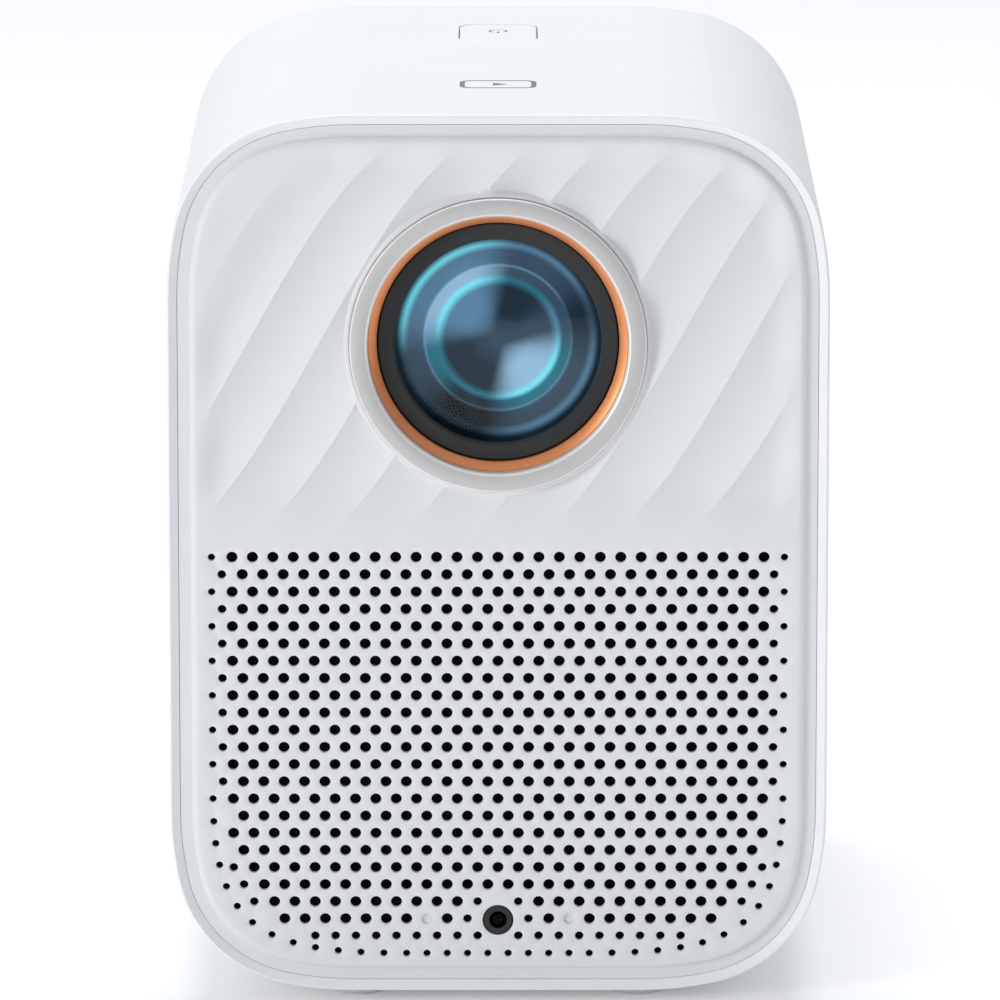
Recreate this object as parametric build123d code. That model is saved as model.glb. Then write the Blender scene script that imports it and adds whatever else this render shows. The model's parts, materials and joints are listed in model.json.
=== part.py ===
from build123d import *
import math
import os

os.makedirs("parts", exist_ok=True)

# A home projector in millimetres. +X is to the right of someone who faces the lens, -Y is
# the direction of the beam and +Z is up. The origin is under the middle, on the table.

# Outer body
body_width = 113.0
body_height = 153.0
body_depth = 133.2
corner_end_r = 60.0
corner_mid_r = 23.5
corner_turn = 12.0
sleeve_wall = 2.6
back_round = 6.0

# Front lip of the sleeve and the face inside it
lip_round = 0.45
lip_chamfer = 1.35
lip_chamfer_depth = 1.0
parting_gap = 0.17
band_width = 2.1
pillow_height = 1.2
pillow_round = 1.0
face_stand = 0.2
panel_plate = 2.2
grille_wall = 1.0
grille_margin = 2.0
cloth_thickness = 0.4
panel_rim = 4.0
panel_edge_wall = 2.0
sleeve_ledge = 1.6
clip_width = 8.0
panel_clip_t = 1.2
clip_barb = 0.8
clip_gap = 0.1
clip_sides = (-36.0, 14.0)
clip_ends = (-18.0, 18.0)

# Rear opening and its cover
back_inset = 9.0
back_ledge = 3.0
back_ledge_depth = 2.0
cover_thickness = 2.4
cover_recess = 0.6
cover_gap = 0.15
cover_boss_r = 3.5
cover_boss_depth = 5.5
cover_screw_x = 34.0
cover_screw_rise = 4.5
vent_slot = 2.4
vent_pitch = 4.8
vent_length = 18.0
vent_web = 3.0
vent_rows = 12

# Hole grid of the front face
hole_pitch = 3.5
large_hole_r = 0.975
medium_hole_r = 0.775
small_hole_r = 0.65
grid_top = 76.5
straight_rows = 15
rounded_rows = 8
straight_steps = 13
rim_hole_foot = 6.7
rim_corner_x = 15.75
rim_pull_down = 23.4
rim_pull_side = 24.7
rim_steps = 13
rim_keep = 2.0
rim_medium = 3.2
window_keep = 4.0
window_medium = 6.0
dimple_x = 12.25
dimple_row = 21
dimple_depth = 0.5

# Sensor window and its camera
window_rise = 12.6
window_r = 2.57
window_lens_r = 1.53
window_gap = 0.1
camera_board = 12.0
camera_length = 7.0
camera_recess = 0.15
camera_chamfer = 0.25
camera_bore_depth = 1.4
camera_ball_r = 1.9
camera_ball_recess = 2.1
camera_lens_gap = 0.03
camera_board_t = 1.2

# Lens opening in the face
lens_drop = 39.6
trim_stand = 0.9
trim_width = 3.15
trim_spigot_wall = 1.7
trim_chamfer = 0.25
trim_edge = 0.45
trim_gap = 0.1
accent_depth = 2.3
accent_length = 1.1
accent_width = 1.5
accent_mouth = 0.1
throat_gap = 0.2

# Focusing lens
barrel_r = 20.5
barrel_recess = 4.0
barrel_length = 47.3
front_ring_width = 2.85
front_ring_length = 1.8
glass_seat_depth = 3.0
front_glass_sag = 3.4
element_inset = 5.5
glass_rim = 1.3
front_glass_rim = 0.95
spacer_wall = 1.2
glass_gap = 0.05
lens_stop_width = 1.2
lens_stop_back = 12.3
element_edges = (4.0, 4.0, 5.0)
element_spaces = (9.0, 8.0)
running_gap = 0.05
mount_wall = 2.45
mount_back = 3.0
mount_flange = 7.0
mount_front_gap = 2.9
focus_travel = 2.0

# Focus drive
gear_module = 0.8
ring_stand = 5.0
pinion_teeth = 18
pressure_angle = 20.0
gear_backlash = 0.12
gear_spread = 0.05
gear_face_width = 5.0
ring_setback = 15.4
ring_length = 12.0
ring_wall = 3.6
ring_shoulder = 1.5
clip_thickness = 1.2
pin_r = 1.0
pin_bite = 3.0
pin_reach = 4.2
motor_angle = -45.0
motor_r = 6.0
motor_length = 20.0
motor_shaft_r = 1.0
bracket_thickness = 4.0
bracket_wall = 2.6

# Light engine
engine_half_width = 38.0
engine_front = -6.0
engine_depth = 50.0
engine_bottom = 48.0
engine_wall = 2.0
slot_depth = 1.0
mirror_size = (70.0, 62.0, 2.0)
mirror_window = (64.0, 54.0)
mirror_cover = (73.0, 65.0, 1.5)
funnel_top = 67.0
funnel_flange = 1.2
funnel_wall = 0.8
funnel_mouth = (62.0, 40.0)
funnel_throat = 14.0
heat_glass_z = 70.5
lower_fresnel_z = 74.5
panel_z = 79.0
upper_fresnel_z = 84.0
heat_glass_t = 1.1
fresnel_t = 1.6
lcd_t = 2.4
led_board_size = (34.0, 34.0, 1.6)
led_chip = (12.0, 12.0, 0.9)

# Heat sink and fan
sink_base = 4.0
fin_height = 13.0
fin_thickness = 0.8
fin_pitch = 3.2
fan_size = 60.0
fan_thickness = 15.0
fan_rim = 1.6
fan_tip_gap = 0.7
fan_hub_r = 11.5
fan_blades = 7
fan_blade_t = 1.1
fan_blade_chord = 15.0
fan_blade_pitch = 38.0
fan_shaft_r = 1.0
fan_hole_r = 2.2
fan_hole_inset = 5.0
fan_clearance = 2.4

# Loudspeakers
speaker_x = 26.5
speaker_rise = 42.0
baffle_setback = 4.4
baffle_thickness = 2.0
baffle_top = 86.0
baffle_inset = 0.5
speaker_flange_r = 23.0
speaker_hole_r = 20.4
speaker_depth = 9.0
magnet_r = 14.0
magnet_length = 8.0
cone_r = 16.8
cone_depth = 6.5
cone_paper = 0.5
coil_r = 6.0
coil_gap = 0.4
coil_depth = 5.0
surround_r = 1.6
cone_travel = 1.0
basket_sheet = 1.0

# Base tray and mainboard
tray_top = 8.0
tray_gap = 0.1
tray_front_gap = 1.5
tray_back_gap = 3.5
tray_pad = 30.0
standoff_r = 3.0
board_z = 17.0
board_t = 1.6
board_half_width = 36.0
board_front = -28.0
board_back_gap = 4.65
board_hole_x = 31.0
board_hole_inset = 6.5
bracket_sheet = 2.0
side_bracket_front = 2.0
side_bracket_back = 36.0
side_bracket_top = 62.0
side_bracket_foot = 9.0
intake_slots = 6
intake_length = 30.0
intake_pitch = 6.0
intake_width = 2.4

# Sockets on the mainboard, seen from behind
socket_recess = 1.15
socket_gap = 0.2
dc_x, dc_size, dc_bore_r, dc_pin_r, dc_depth = -23.0, (9.0, 13.0, 10.0), 2.85, 1.0, 9.5
audio_x, audio_size, audio_bore_r, audio_depth = -8.0, (7.0, 13.5, 6.4), 1.8, 12.0
usb_x, usb_size, usb_tongue = 7.0, (13.2, 14.0, 6.6), (11.0, 9.0, 1.9)
hdmi_x, hdmi_size, hdmi_tongue = 24.0, (15.0, 12.0, 6.2), (11.4, 8.0, 1.4)
socket_sheet = 0.5

# Feet, tripod bush and screws
foot_height = 2.0
foot_r = 5.0
foot_seat = 0.8
foot_gap = 0.1
foot_x = 24.0
foot_front_setback = 10.0
foot_back_setback = 14.0
tripod_bore_r = 2.55
tripod_bore_depth = 7.5
tripod_bush_r = 5.0
tripod_cap = 1.2
tripod_boss_wall = 3.0
screw_head_r = 2.2
screw_head_h = 1.1
screw_r = 1.2
screw_gap = 0.05
case_screw_length = 5.5
tray_screw_length = 4.0
board_screw_length = 5.0

# Power button and the mark on the top
button_size = (13.8, 20.0)
button_corner = 3.5
button_gap = 0.2
button_setback = 95.0
button_travel = 0.5
button_flange = 1.3
button_flange_t = 1.4
button_stem_r = 2.0
switch_size = (6.2, 6.2, 3.4)
switch_plunger_r = 1.7
plunger_length = 3.0
plunger_sink = 1.6
button_board_drop = 10.2
button_board_size = (36.0, 18.0, 1.2)
button_post_x = 14.0
button_post_r = 2.5
inlay_depth = 0.25
symbol_r = 1.75
symbol_line = 0.45
symbol_gap_angle = 70.0
mark_setback = 34.0
mark_size = (13.3, 9.0)
mark_line = 0.9
mark_corner = 2.2
mark_arrow = 3.6

# Planes and centres that follow from the sizes above
overall_depth = body_depth + face_stand + trim_stand
back_y = overall_depth / 2
crest_y = back_y - body_depth
face_y = crest_y - face_stand
trim_y = face_y - trim_stand
band_y = face_y + pillow_height
panel_back_y = band_y + panel_plate
bottom_z = foot_height
top_z = foot_height + body_height
middle_z = foot_height + body_height / 2
inner_top_z = top_z - sleeve_wall
inner_bottom_z = bottom_z + sleeve_wall
lens_z = top_z - lens_drop
accent_throat_r = barrel_r + throat_gap
trim_inner_r = accent_throat_r + accent_width
trim_outer_r = trim_inner_r + trim_width
trim_spigot_r = trim_inner_r + trim_spigot_wall
front_ring_r = barrel_r - front_ring_width
element_r = barrel_r - element_inset
lens_stop_r = element_r - lens_stop_width
panel_inset = lip_round + lip_chamfer + parting_gap
pillow_inset = panel_inset + band_width - parting_gap
row_pitch = hole_pitch * math.sqrt(3) / 2
cover_back_y = back_y - cover_recess
cover_front_y = cover_back_y - cover_thickness
ledge_front_y = cover_front_y - back_ledge_depth
tray_back = ledge_front_y - tray_back_gap
board_back = ledge_front_y - board_back_gap
socket_reach = cover_back_y - socket_recess
cover_screw_zs = (
    bottom_z + back_inset + cover_screw_rise,
    top_z - back_inset - cover_screw_rise,
)
window_z = bottom_z + window_rise
barrel_y = trim_y + barrel_recess + front_ring_length
barrel_back_y = barrel_y + barrel_length
mount_inner_r = barrel_r + running_gap
mount_outer_r = mount_inner_r + mount_wall
mount_flange_r = mount_outer_r + mount_flange
mount_front_y = barrel_y + mount_front_gap
ring_y = barrel_y + ring_setback
ring_back_y = ring_y + ring_length
pin_y = ring_y + ring_length / 2
ring_body_r = mount_outer_r + ring_wall
ring_teeth = round(2 * (mount_outer_r + ring_stand) / gear_module)
ring_pitch_r = gear_module * ring_teeth / 2
pinion_pitch_r = gear_module * pinion_teeth / 2
gear_centres = ring_pitch_r + pinion_pitch_r + gear_spread
pinion_x = gear_centres * math.cos(math.radians(motor_angle))
pinion_z = lens_z + gear_centres * math.sin(math.radians(motor_angle))
motor_y = ring_back_y + clip_thickness - 2.0
bracket_y = ring_back_y + clip_thickness + 1.0
engine_back = engine_front + engine_depth
engine_middle_y = (engine_front + engine_back) / 2
optic_depth = engine_depth - 2 * engine_wall
fan_bore_r = fan_size / 2 - fan_rim
fan_back_y = cover_front_y - 0.6
fan_front_y = fan_back_y - fan_thickness
baffle_y = panel_back_y + baffle_setback
baffle_back_y = baffle_y + baffle_thickness
board_top_z = board_z + board_t
fan_z = board_top_z + dc_size[2] + fan_clearance + fan_size / 2
foot_ys = (crest_y + foot_front_setback, back_y - foot_back_setback)
button_y = crest_y + button_setback
button_board_z = inner_top_z - button_board_drop
mark_y = crest_y + mark_setback


# Small helpers

def along_y(sketch, near, far):
    """Extrude a sketch drawn in X and Z from y = near back to y = far."""
    return extrude(Plane.XZ.offset(-far) * sketch, amount=far - near)


def along_z(sketch, low, high):
    """Extrude a sketch drawn in X and Y from z = low up to z = high."""
    return extrude(Plane.XY.offset(low) * sketch, amount=high - low)


def block(x_range, y_range, z_range):
    """A box between two values on each axis."""
    size = [high - low for low, high in (x_range, y_range, z_range)]
    centre = [(high + low) / 2 for low, high in (x_range, y_range, z_range)]
    return Pos(*centre) * Box(*size)


def rod_y(radius, near, far, x=0.0, z=0.0):
    return along_y(Pos(x, z) * Circle(radius), near, far)


def rod_z(radius, low, high, x=0.0, y=0.0):
    return along_z(Pos(x, y) * Circle(radius), low, high)


def tube_y(outer, inner, near, far, x=0.0, z=0.0):
    return along_y(Pos(x, z) * (Circle(outer) - Circle(inner)), near, far)


def turned(points, x=0.0, z=0.0):
    """Turn a closed outline of (radius, y) points about a line along Y."""
    profile = make_face(Polyline(*points, close=True))
    return Pos(x, 0, z) * revolve(profile, Axis.Y)


def save(node, shape):
    shape.label = node
    export_step(shape, f"parts/{node}.step")


def body_outline(inset):
    """The body's cross-section, moved in by inset: straight sides and three-arc corners."""
    turn = math.radians(corner_turn)
    spread = corner_end_r - corner_mid_r
    reach = corner_end_r - spread * (math.cos(turn) - math.sin(turn))
    mid = corner_end_r - spread * math.cos(turn)
    half_x, half_z = body_width / 2, body_height / 2
    centres = (
        (half_x - corner_end_r, half_z - reach),
        (half_x - mid, half_z - mid),
        (half_x - reach, half_z - corner_end_r),
    )
    radii = (corner_end_r - inset, corner_mid_r - inset, corner_end_r - inset)
    angles = (0.0, turn, math.pi / 2 - turn, math.pi / 2)
    quarter = []
    for index, ((cx, cz), radius) in enumerate(zip(centres, radii)):
        start, end = angles[index], angles[index + 1]
        steps = (start, (start + end) / 2) if index < 2 else (start, (start + end) / 2, end)
        for angle in steps:
            quarter.append((cx + radius * math.cos(angle), cz + radius * math.sin(angle)))
    edges = []
    corners = []
    for side_x, side_z in ((1, 1), (-1, 1), (-1, -1), (1, -1)):
        points = [(side_x * x, side_z * z) for x, z in quarter]
        corners.append(points if side_x * side_z > 0 else points[::-1])
    for index, points in enumerate(corners):
        for first in (0, 2, 4):
            edges.append(ThreePointArc(points[first], points[first + 1], points[first + 2]))
        edges.append(Line(points[-1], corners[(index + 1) % 4][0]))
    return Pos(0, middle_z) * make_face(edges)


def below(sketch, level):
    """The part of an X-Z sketch that lies below a level."""
    cutter = Pos(0, level - body_height) * Rectangle(2 * body_width, 2 * body_height)
    return sketch & cutter


def screw_y(x, z, head_y, length, forward=1):
    """A pan-head screw whose shank runs from head_y towards -Y, or +Y if forward is -1."""
    head_far = head_y + forward * screw_head_h
    tip = head_y - forward * length
    head = rod_y(screw_head_r, min(head_y, head_far), max(head_y, head_far), x, z)
    shank = rod_y(screw_r, min(head_y, tip), max(head_y, tip), x, z)
    return head + shank


def screw_z(x, y, head_z, length, upward=1):
    """A pan-head screw whose shank runs up from head_z, or down if upward is -1."""
    head_far = head_z - upward * screw_head_h
    tip = head_z + upward * length
    head = rod_z(screw_head_r, min(head_z, head_far), max(head_z, head_far), x, y)
    shank = rod_z(screw_r, min(head_z, tip), max(head_z, tip), x, y)
    return head + shank


# Shell

def mark_sketch():
    """A plain picture-frame outline with an arrowhead inside it."""
    width, depth = mark_size
    frame = RectangleRounded(width, depth, mark_corner)
    frame -= RectangleRounded(width - 2 * mark_line, depth - 2 * mark_line, mark_corner - mark_line)
    arrow = RegularPolygon(mark_arrow / 2, 3)
    return Pos(0, mark_y) * (frame + arrow)


def outer_sleeve():
    outer = along_y(body_outline(0), crest_y, back_y)
    front_edges = outer.edges().group_by(Axis.Y)[0]
    outer = fillet(front_edges, lip_round * 0.95)
    back_edges = outer.edges().group_by(Axis.Y)[-1]
    outer = fillet(back_edges, back_round)
    lip_inset = lip_round + lip_chamfer
    mouth = loft([
        Plane.XZ.offset(-crest_y) * body_outline(lip_round),
        Plane.XZ.offset(-crest_y - lip_chamfer_depth) * body_outline(lip_inset),
    ])
    seat = along_y(body_outline(lip_inset), crest_y + lip_chamfer_depth, panel_back_y)
    rim = along_y(body_outline(panel_rim), panel_back_y, panel_back_y + sleeve_ledge)
    cavity = along_y(body_outline(sleeve_wall), panel_back_y + sleeve_ledge, ledge_front_y)
    cavity = fillet(cavity.edges().group_by(Axis.Y)[-1], back_round - sleeve_wall)
    shell = outer - mouth - seat - rim - cavity
    shell -= along_y(body_outline(back_inset), cover_front_y, back_y)
    shell -= along_y(body_outline(back_inset + back_ledge), ledge_front_y, cover_front_y)
    for z in cover_screw_zs:
        for x in (-cover_screw_x, cover_screw_x):
            boss_front_y = cover_front_y - cover_boss_depth
            shell += rod_y(cover_boss_r, boss_front_y, cover_front_y, x, z)
            shell -= rod_y(screw_r + screw_gap, boss_front_y, cover_front_y, x, z)
    for x in (-button_post_x, button_post_x):
        top = inner_top_z + sleeve_wall / 2
        shell += rod_z(button_post_r, button_board_z, top, x, button_y)
        shell -= rod_z(screw_r + screw_gap, button_board_z, inner_top_z, x, button_y)
    opening = RectangleRounded(
        button_size[0] + 2 * button_gap, button_size[1] + 2 * button_gap, button_corner + button_gap
    )
    shell -= along_z(Pos(0, button_y) * opening, inner_top_z - 1, top_z + 1)
    shell -= along_z(mark_sketch(), top_z - inlay_depth, top_z + 1)
    for x in (-foot_x, foot_x):
        for y in foot_ys:
            shell -= rod_z(foot_r + foot_gap, bottom_z - 1, bottom_z + foot_seat, x, y)
            shell -= rod_z(screw_head_r + foot_gap, bottom_z, bottom_z + foot_seat + screw_head_h, x, y)
            shell -= rod_z(screw_r + foot_gap, bottom_z, inner_bottom_z + 1, x, y)
    shell -= rod_z(tripod_bush_r + foot_gap, bottom_z - 1, inner_bottom_z + 1)
    shell -= along_z(intake_sketch(), bottom_z - 1, inner_bottom_z + 1)
    return shell


def intake_sketch():
    """Rows of air slots under the body, in front of and behind the tripod bush."""
    slots = Sketch()
    for index in range(intake_slots):
        x = (index - (intake_slots - 1) / 2) * intake_pitch
        for y in (-intake_length, intake_length):
            slots += Pos(x, y * 0.8) * Rot(0, 0, 90) * SlotOverall(intake_length, intake_width)
    return slots


def rim_curve(share):
    """A point of the rounded lower corner of the hole field, from its side to its foot."""
    side_x = (straight_steps + 1) * hole_pitch
    side_z = grid_top - (straight_rows - 1) * row_pitch
    points = (
        (side_x, side_z),
        (side_x, side_z - rim_pull_down),
        (rim_corner_x + rim_pull_side, rim_hole_foot),
        (rim_corner_x, rim_hole_foot),
    )
    rest = 1 - share
    weights = (rest**3, 3 * rest**2 * share, 3 * rest * share**2, share**3)
    x = sum(weight * point[0] for weight, point in zip(weights, points))
    z = sum(weight * point[1] for weight, point in zip(weights, points))
    return x, z


def rim_holes():
    """Centres spaced evenly along the rounded corner and along the foot of the hole field."""
    samples = [rim_curve(index / 400) for index in range(401)]
    lengths = [0.0]
    for before, after in zip(samples, samples[1:]):
        lengths.append(lengths[-1] + math.dist(before, after))
    centres = []
    for step in range(1, rim_steps + 1):
        wanted = lengths[-1] * step / rim_steps
        index = min(range(401), key=lambda item: abs(lengths[item] - wanted))
        centres.append(samples[index])
    x = rim_corner_x - hole_pitch
    while x > 0:
        centres.append((x, rim_hole_foot))
        x -= hole_pitch
    return centres


def grille_holes():
    """Every hole of the right half of the field as (x, height above the body's foot, radius)."""
    holes = []
    rim = [rim_curve(index / 60) for index in range(61)]
    rim.append((0.0, rim_hole_foot))
    for row in range(straight_rows + rounded_rows):
        height = grid_top - row * row_pitch
        shift = 0.5 * (row % 2)
        for step in range(straight_steps + 2):
            x = (step + shift) * hole_pitch
            edge_x = (straight_steps + 1) * hole_pitch
            if row < straight_rows:
                if x > edge_x:
                    continue
                radius = large_hole_r
                if x > edge_x - hole_pitch * 0.75:
                    radius = medium_hole_r if row % 2 else small_hole_r
            else:
                inside = x < edge_x and height > rim_hole_foot
                to_rim = min(math.dist((x, height), point) for point in rim)
                over_foot = height - rim_hole_foot if x < rim_corner_x else to_rim
                to_rim = min(to_rim, over_foot)
                left_of_rim = any(x < px and height > pz for px, pz in rim)
                if not inside or not left_of_rim or to_rim < rim_keep:
                    continue
                radius = medium_hole_r if to_rim < rim_medium else large_hole_r
            to_window = math.dist((x, height), (0.0, window_rise))
            is_dimple = row == dimple_row and abs(x - dimple_x) < 0.1
            if to_window < window_keep or is_dimple:
                continue
            if to_window < window_medium:
                radius = medium_hole_r
            holes.append((x, height, radius))
    holes += [(x, height, small_hole_r) for x, height in rim_holes()]
    return holes


def front_panel():
    plate = along_y(body_outline(panel_inset), band_y, panel_back_y)
    pillow = along_y(body_outline(pillow_inset), face_y, band_y + 0.5)
    pillow = fillet(pillow.edges().group_by(Axis.Y)[0], pillow_round)
    panel = plate + pillow
    panel -= along_y(body_outline(panel_rim + panel_edge_wall), panel_back_y - pillow_height, panel_back_y)
    panel -= along_y(grille_area(0), face_y + grille_wall, panel_back_y)
    panel += panel_clips()
    panel -= rod_y(trim_spigot_r + trim_gap, face_y - 1, panel_back_y + 1, 0, lens_z)
    panel -= rod_y(window_r + window_gap, face_y - 1, panel_back_y + 1, 0, window_z)
    holes = Sketch()
    for x, height, radius in grille_holes():
        sides = (1, -1) if x > 0.01 else (1,)
        holes += [Pos(side * x, bottom_z + height) * Circle(radius) for side in sides]
    panel -= along_y(holes, face_y - 1, panel_back_y + 1)
    dimple_z = bottom_z + grid_top - dimple_row * row_pitch
    for x in (-dimple_x, dimple_x):
        panel -= rod_y(large_hole_r, face_y - 1, face_y + dimple_depth, x, dimple_z)
    return panel


def panel_clips():
    """Six hooks behind the face that snap under the ledge of the sleeve."""
    end_y = panel_back_y + sleeve_ledge + clip_gap + panel_clip_t
    barb_y = panel_back_y + sleeve_ledge + clip_gap
    near = panel_rim + clip_gap
    clips = []
    for half, places, upright in (
        (body_width / 2, clip_sides, True),
        (body_height / 2, clip_ends, False),
    ):
        for side in (-1, 1):
            for place in places:
                outward = side * (half - near - panel_clip_t / 2)
                turn = Pos(0, middle_z) * Rot(0, 0, 0 if upright else 90)
                hook = Pos(outward, place) * Rectangle(panel_clip_t, clip_width)
                barb = Pos(outward + side * clip_barb / 2, place)
                barb *= Rectangle(panel_clip_t + clip_barb, clip_width)
                clips.append(along_y(turn * hook, panel_back_y - 1, end_y))
                clips.append(along_y(turn * barb, barb_y, end_y))
    return clips


def grille_area(inset):
    """The part of the face behind the hole field, where its wall is thin."""
    top = bottom_z + grid_top + large_hole_r + grille_margin
    return below(body_outline(panel_rim + panel_edge_wall + inset), top - inset)


def grille_cloth():
    """A thin dust mesh behind the hole field, clear of the camera."""
    cloth_y = face_y + grille_wall
    cloth = along_y(grille_area(trim_gap), cloth_y, cloth_y + cloth_thickness)
    return cloth - rod_y(window_r + 0.5, cloth_y - 1, cloth_y + 1, 0, window_z)


def rear_cover():
    cover = along_y(body_outline(back_inset + cover_gap), cover_front_y, cover_back_y)
    for z in cover_screw_zs:
        for x in (-cover_screw_x, cover_screw_x):
            cover -= rod_y(screw_r + foot_gap, cover_front_y, cover_back_y, x, z)
            cover -= rod_y(screw_head_r + foot_gap, cover_back_y - screw_head_h, cover_back_y, x, z)
    slots = Sketch()
    for row in range(vent_rows):
        z = fan_z + (row - (vent_rows - 1) / 2) * vent_pitch
        for column in (-1, 0, 1):
            slots += Pos(column * (vent_length + vent_web), z) * SlotOverall(vent_length, vent_slot)
    cover -= along_y(slots, cover_front_y, cover_back_y)
    for x, size in ((dc_x, dc_size), (audio_x, audio_size), (usb_x, usb_size), (hdmi_x, hdmi_size)):
        width = size[0] + 2 * socket_gap
        height = size[2] + 2 * socket_gap
        hole = Pos(x, board_top_z + size[2] / 2) * Rectangle(width, height)
        cover -= along_y(hole, cover_front_y, cover_back_y)
    return cover


def rear_cover_screws():
    head_y = cover_back_y - screw_head_h
    return [
        screw_y(x, z, head_y, case_screw_length)
        for z in cover_screw_zs
        for x in (-cover_screw_x, cover_screw_x)
    ]


# Feet, tray and tripod bush

def rubber_foot(x, y):
    foot = rod_z(foot_r, 0, bottom_z + foot_seat, x, y)
    return fillet(foot.edges().group_by(Axis.Z)[0], 0.5)


def base_tray():
    front_y = panel_back_y + sleeve_ledge + tray_front_gap
    section = below(body_outline(sleeve_wall + tray_gap), tray_top)
    tray = along_y(section, front_y, tray_back)
    tray += block((-tray_pad / 2, tray_pad / 2), (front_y, tray_back), (inner_bottom_z, tray_top))
    for x in (-board_hole_x, board_hole_x):
        for y in (board_front + board_hole_inset, board_back - board_hole_inset):
            tray += rod_z(standoff_r, tray_top - 1, board_z, x, y)
            tray -= rod_z(screw_r + screw_gap, board_z - board_screw_length, board_z, x, y)
    tray += rod_z(tripod_bush_r + tripod_boss_wall, tray_top - 1, tripod_top_z())
    tray -= rod_z(tripod_bush_r + screw_gap, inner_bottom_z - 1, tripod_top_z() + 1)
    for x in (-foot_x, foot_x):
        for y in foot_ys:
            tray -= rod_z(screw_r + screw_gap, inner_bottom_z - 1, tray_top + 1, x, y)
    return tray - along_z(intake_sketch(), inner_bottom_z - 1, tray_top + 1)


def tripod_top_z():
    return bottom_z + tripod_bore_depth + tripod_cap


def tripod_bush():
    bush = rod_z(tripod_bush_r, bottom_z, tripod_top_z())
    bush -= rod_z(tripod_bore_r, bottom_z, bottom_z + tripod_bore_depth)
    return chamfer(bush.edges().group_by(Axis.Z)[-1], 0.4)


def tray_screws():
    head_z = bottom_z + foot_seat + screw_head_h
    return [screw_z(x, y, head_z, tray_screw_length) for x in (-foot_x, foot_x) for y in foot_ys]


# Lens opening

def lens_trim_ring():
    ring = turned([
        (trim_inner_r + trim_edge, trim_y),
        (trim_outer_r - trim_chamfer, trim_y),
        (trim_outer_r, trim_y + trim_chamfer),
        (trim_outer_r, face_y),
        (trim_spigot_r, face_y),
        (trim_spigot_r, panel_back_y),
        (trim_inner_r, panel_back_y),
        (trim_inner_r, trim_y + trim_edge),
    ], 0, lens_z)
    return ring


def lens_accent_ring():
    outer = trim_inner_r - screw_gap
    mouth_r = trim_inner_r - accent_mouth
    throat_y = trim_y + accent_depth + accent_length
    return turned([
        (mouth_r, trim_y + accent_depth),
        (outer, trim_y + accent_depth),
        (outer, panel_back_y),
        (accent_throat_r, panel_back_y),
        (accent_throat_r, throat_y),
    ], 0, lens_z)


# Lens barrel and glass

def glass(clear_r, rim, front, back, front_sag, back_sag):
    """A round lens with a flat rim; a positive sag bulges outwards, a negative one is hollow."""
    def arc(y, sag, outward):
        sphere = (clear_r**2 + sag**2) / (2 * abs(sag))
        half = sphere - math.sqrt(sphere**2 - clear_r**2 / 4)
        pole = y + outward * sag
        middle = pole - outward * math.copysign(half, sag)
        return ThreePointArc((0, pole), (clear_r / 2, middle), (clear_r, y))
    outer_r = clear_r + rim
    blank = make_face([
        arc(front, front_sag, -1),
        Polyline((clear_r, front), (outer_r, front), (outer_r, back), (clear_r, back)),
        arc(back, back_sag, 1),
        Line((0, back + back_sag), (0, front - front_sag)),
    ])
    return Pos(0, 0, lens_z) * revolve(blank, Axis.Y)


def lens_front_ring():
    """The matt black ring that holds the front glass in the barrel."""
    front = barrel_y - front_ring_length
    return turned([
        (front_ring_r + 0.4, front),
        (barrel_r - 0.2, front),
        (barrel_r, front + 0.2),
        (barrel_r, barrel_y),
        (front_ring_r, barrel_y),
        (front_ring_r, front + 0.4),
    ], 0, lens_z)


def front_lens():
    clear_r = front_ring_r - glass_gap
    rim = front_glass_rim + glass_gap
    return glass(clear_r, rim, barrel_y, barrel_y + glass_seat_depth, front_glass_sag, -1.0)


def lens_barrel():
    seat_r = front_ring_r + front_glass_rim + glass_gap
    bore_r = element_r + glass_gap
    stop_y = barrel_y + lens_stop_back
    barrel = turned([
        (barrel_r, barrel_y),
        (seat_r, barrel_y),
        (seat_r, barrel_y + glass_seat_depth),
        (seat_r - 1.6, barrel_y + glass_seat_depth),
        (lens_stop_r, stop_y - 2),
        (lens_stop_r, stop_y),
        (bore_r, stop_y),
        (bore_r, barrel_back_y),
        (barrel_r, barrel_back_y),
    ], 0, lens_z)
    low = lens_z + barrel_r - pin_bite
    return barrel - rod_z(pin_r, low, lens_z + barrel_r + 1, 0, pin_y)


def element_places():
    """Front and back edge of each inner glass, from the stop to the rear ring."""
    places = []
    y = barrel_y + lens_stop_back
    for index, edge in enumerate(element_edges):
        places.append((y, y + edge))
        y += edge
        if index < len(element_spaces):
            y += element_spaces[index]
    return places


def lens_elements():
    sags = ((2.6, 0.6), (-1.4, -1.2), (1.8, 2.4))
    return [
        glass(element_r - glass_rim, glass_rim, front, back, front_sag, back_sag)
        for (front, back), (front_sag, back_sag) in zip(element_places(), sags)
    ]


def lens_spacers():
    places = element_places()
    return [
        tube_y(element_r, element_r - spacer_wall, before[1], after[0], 0, lens_z)
        for before, after in zip(places, places[1:])
    ]


def lens_rear_ring():
    last = element_places()[-1][1]
    return tube_y(element_r, element_r - spacer_wall, last, barrel_back_y, 0, lens_z)


def focus_pin():
    low = lens_z + barrel_r - pin_bite
    return rod_z(pin_r, low, lens_z + barrel_r + pin_reach, 0, pin_y)


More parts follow.
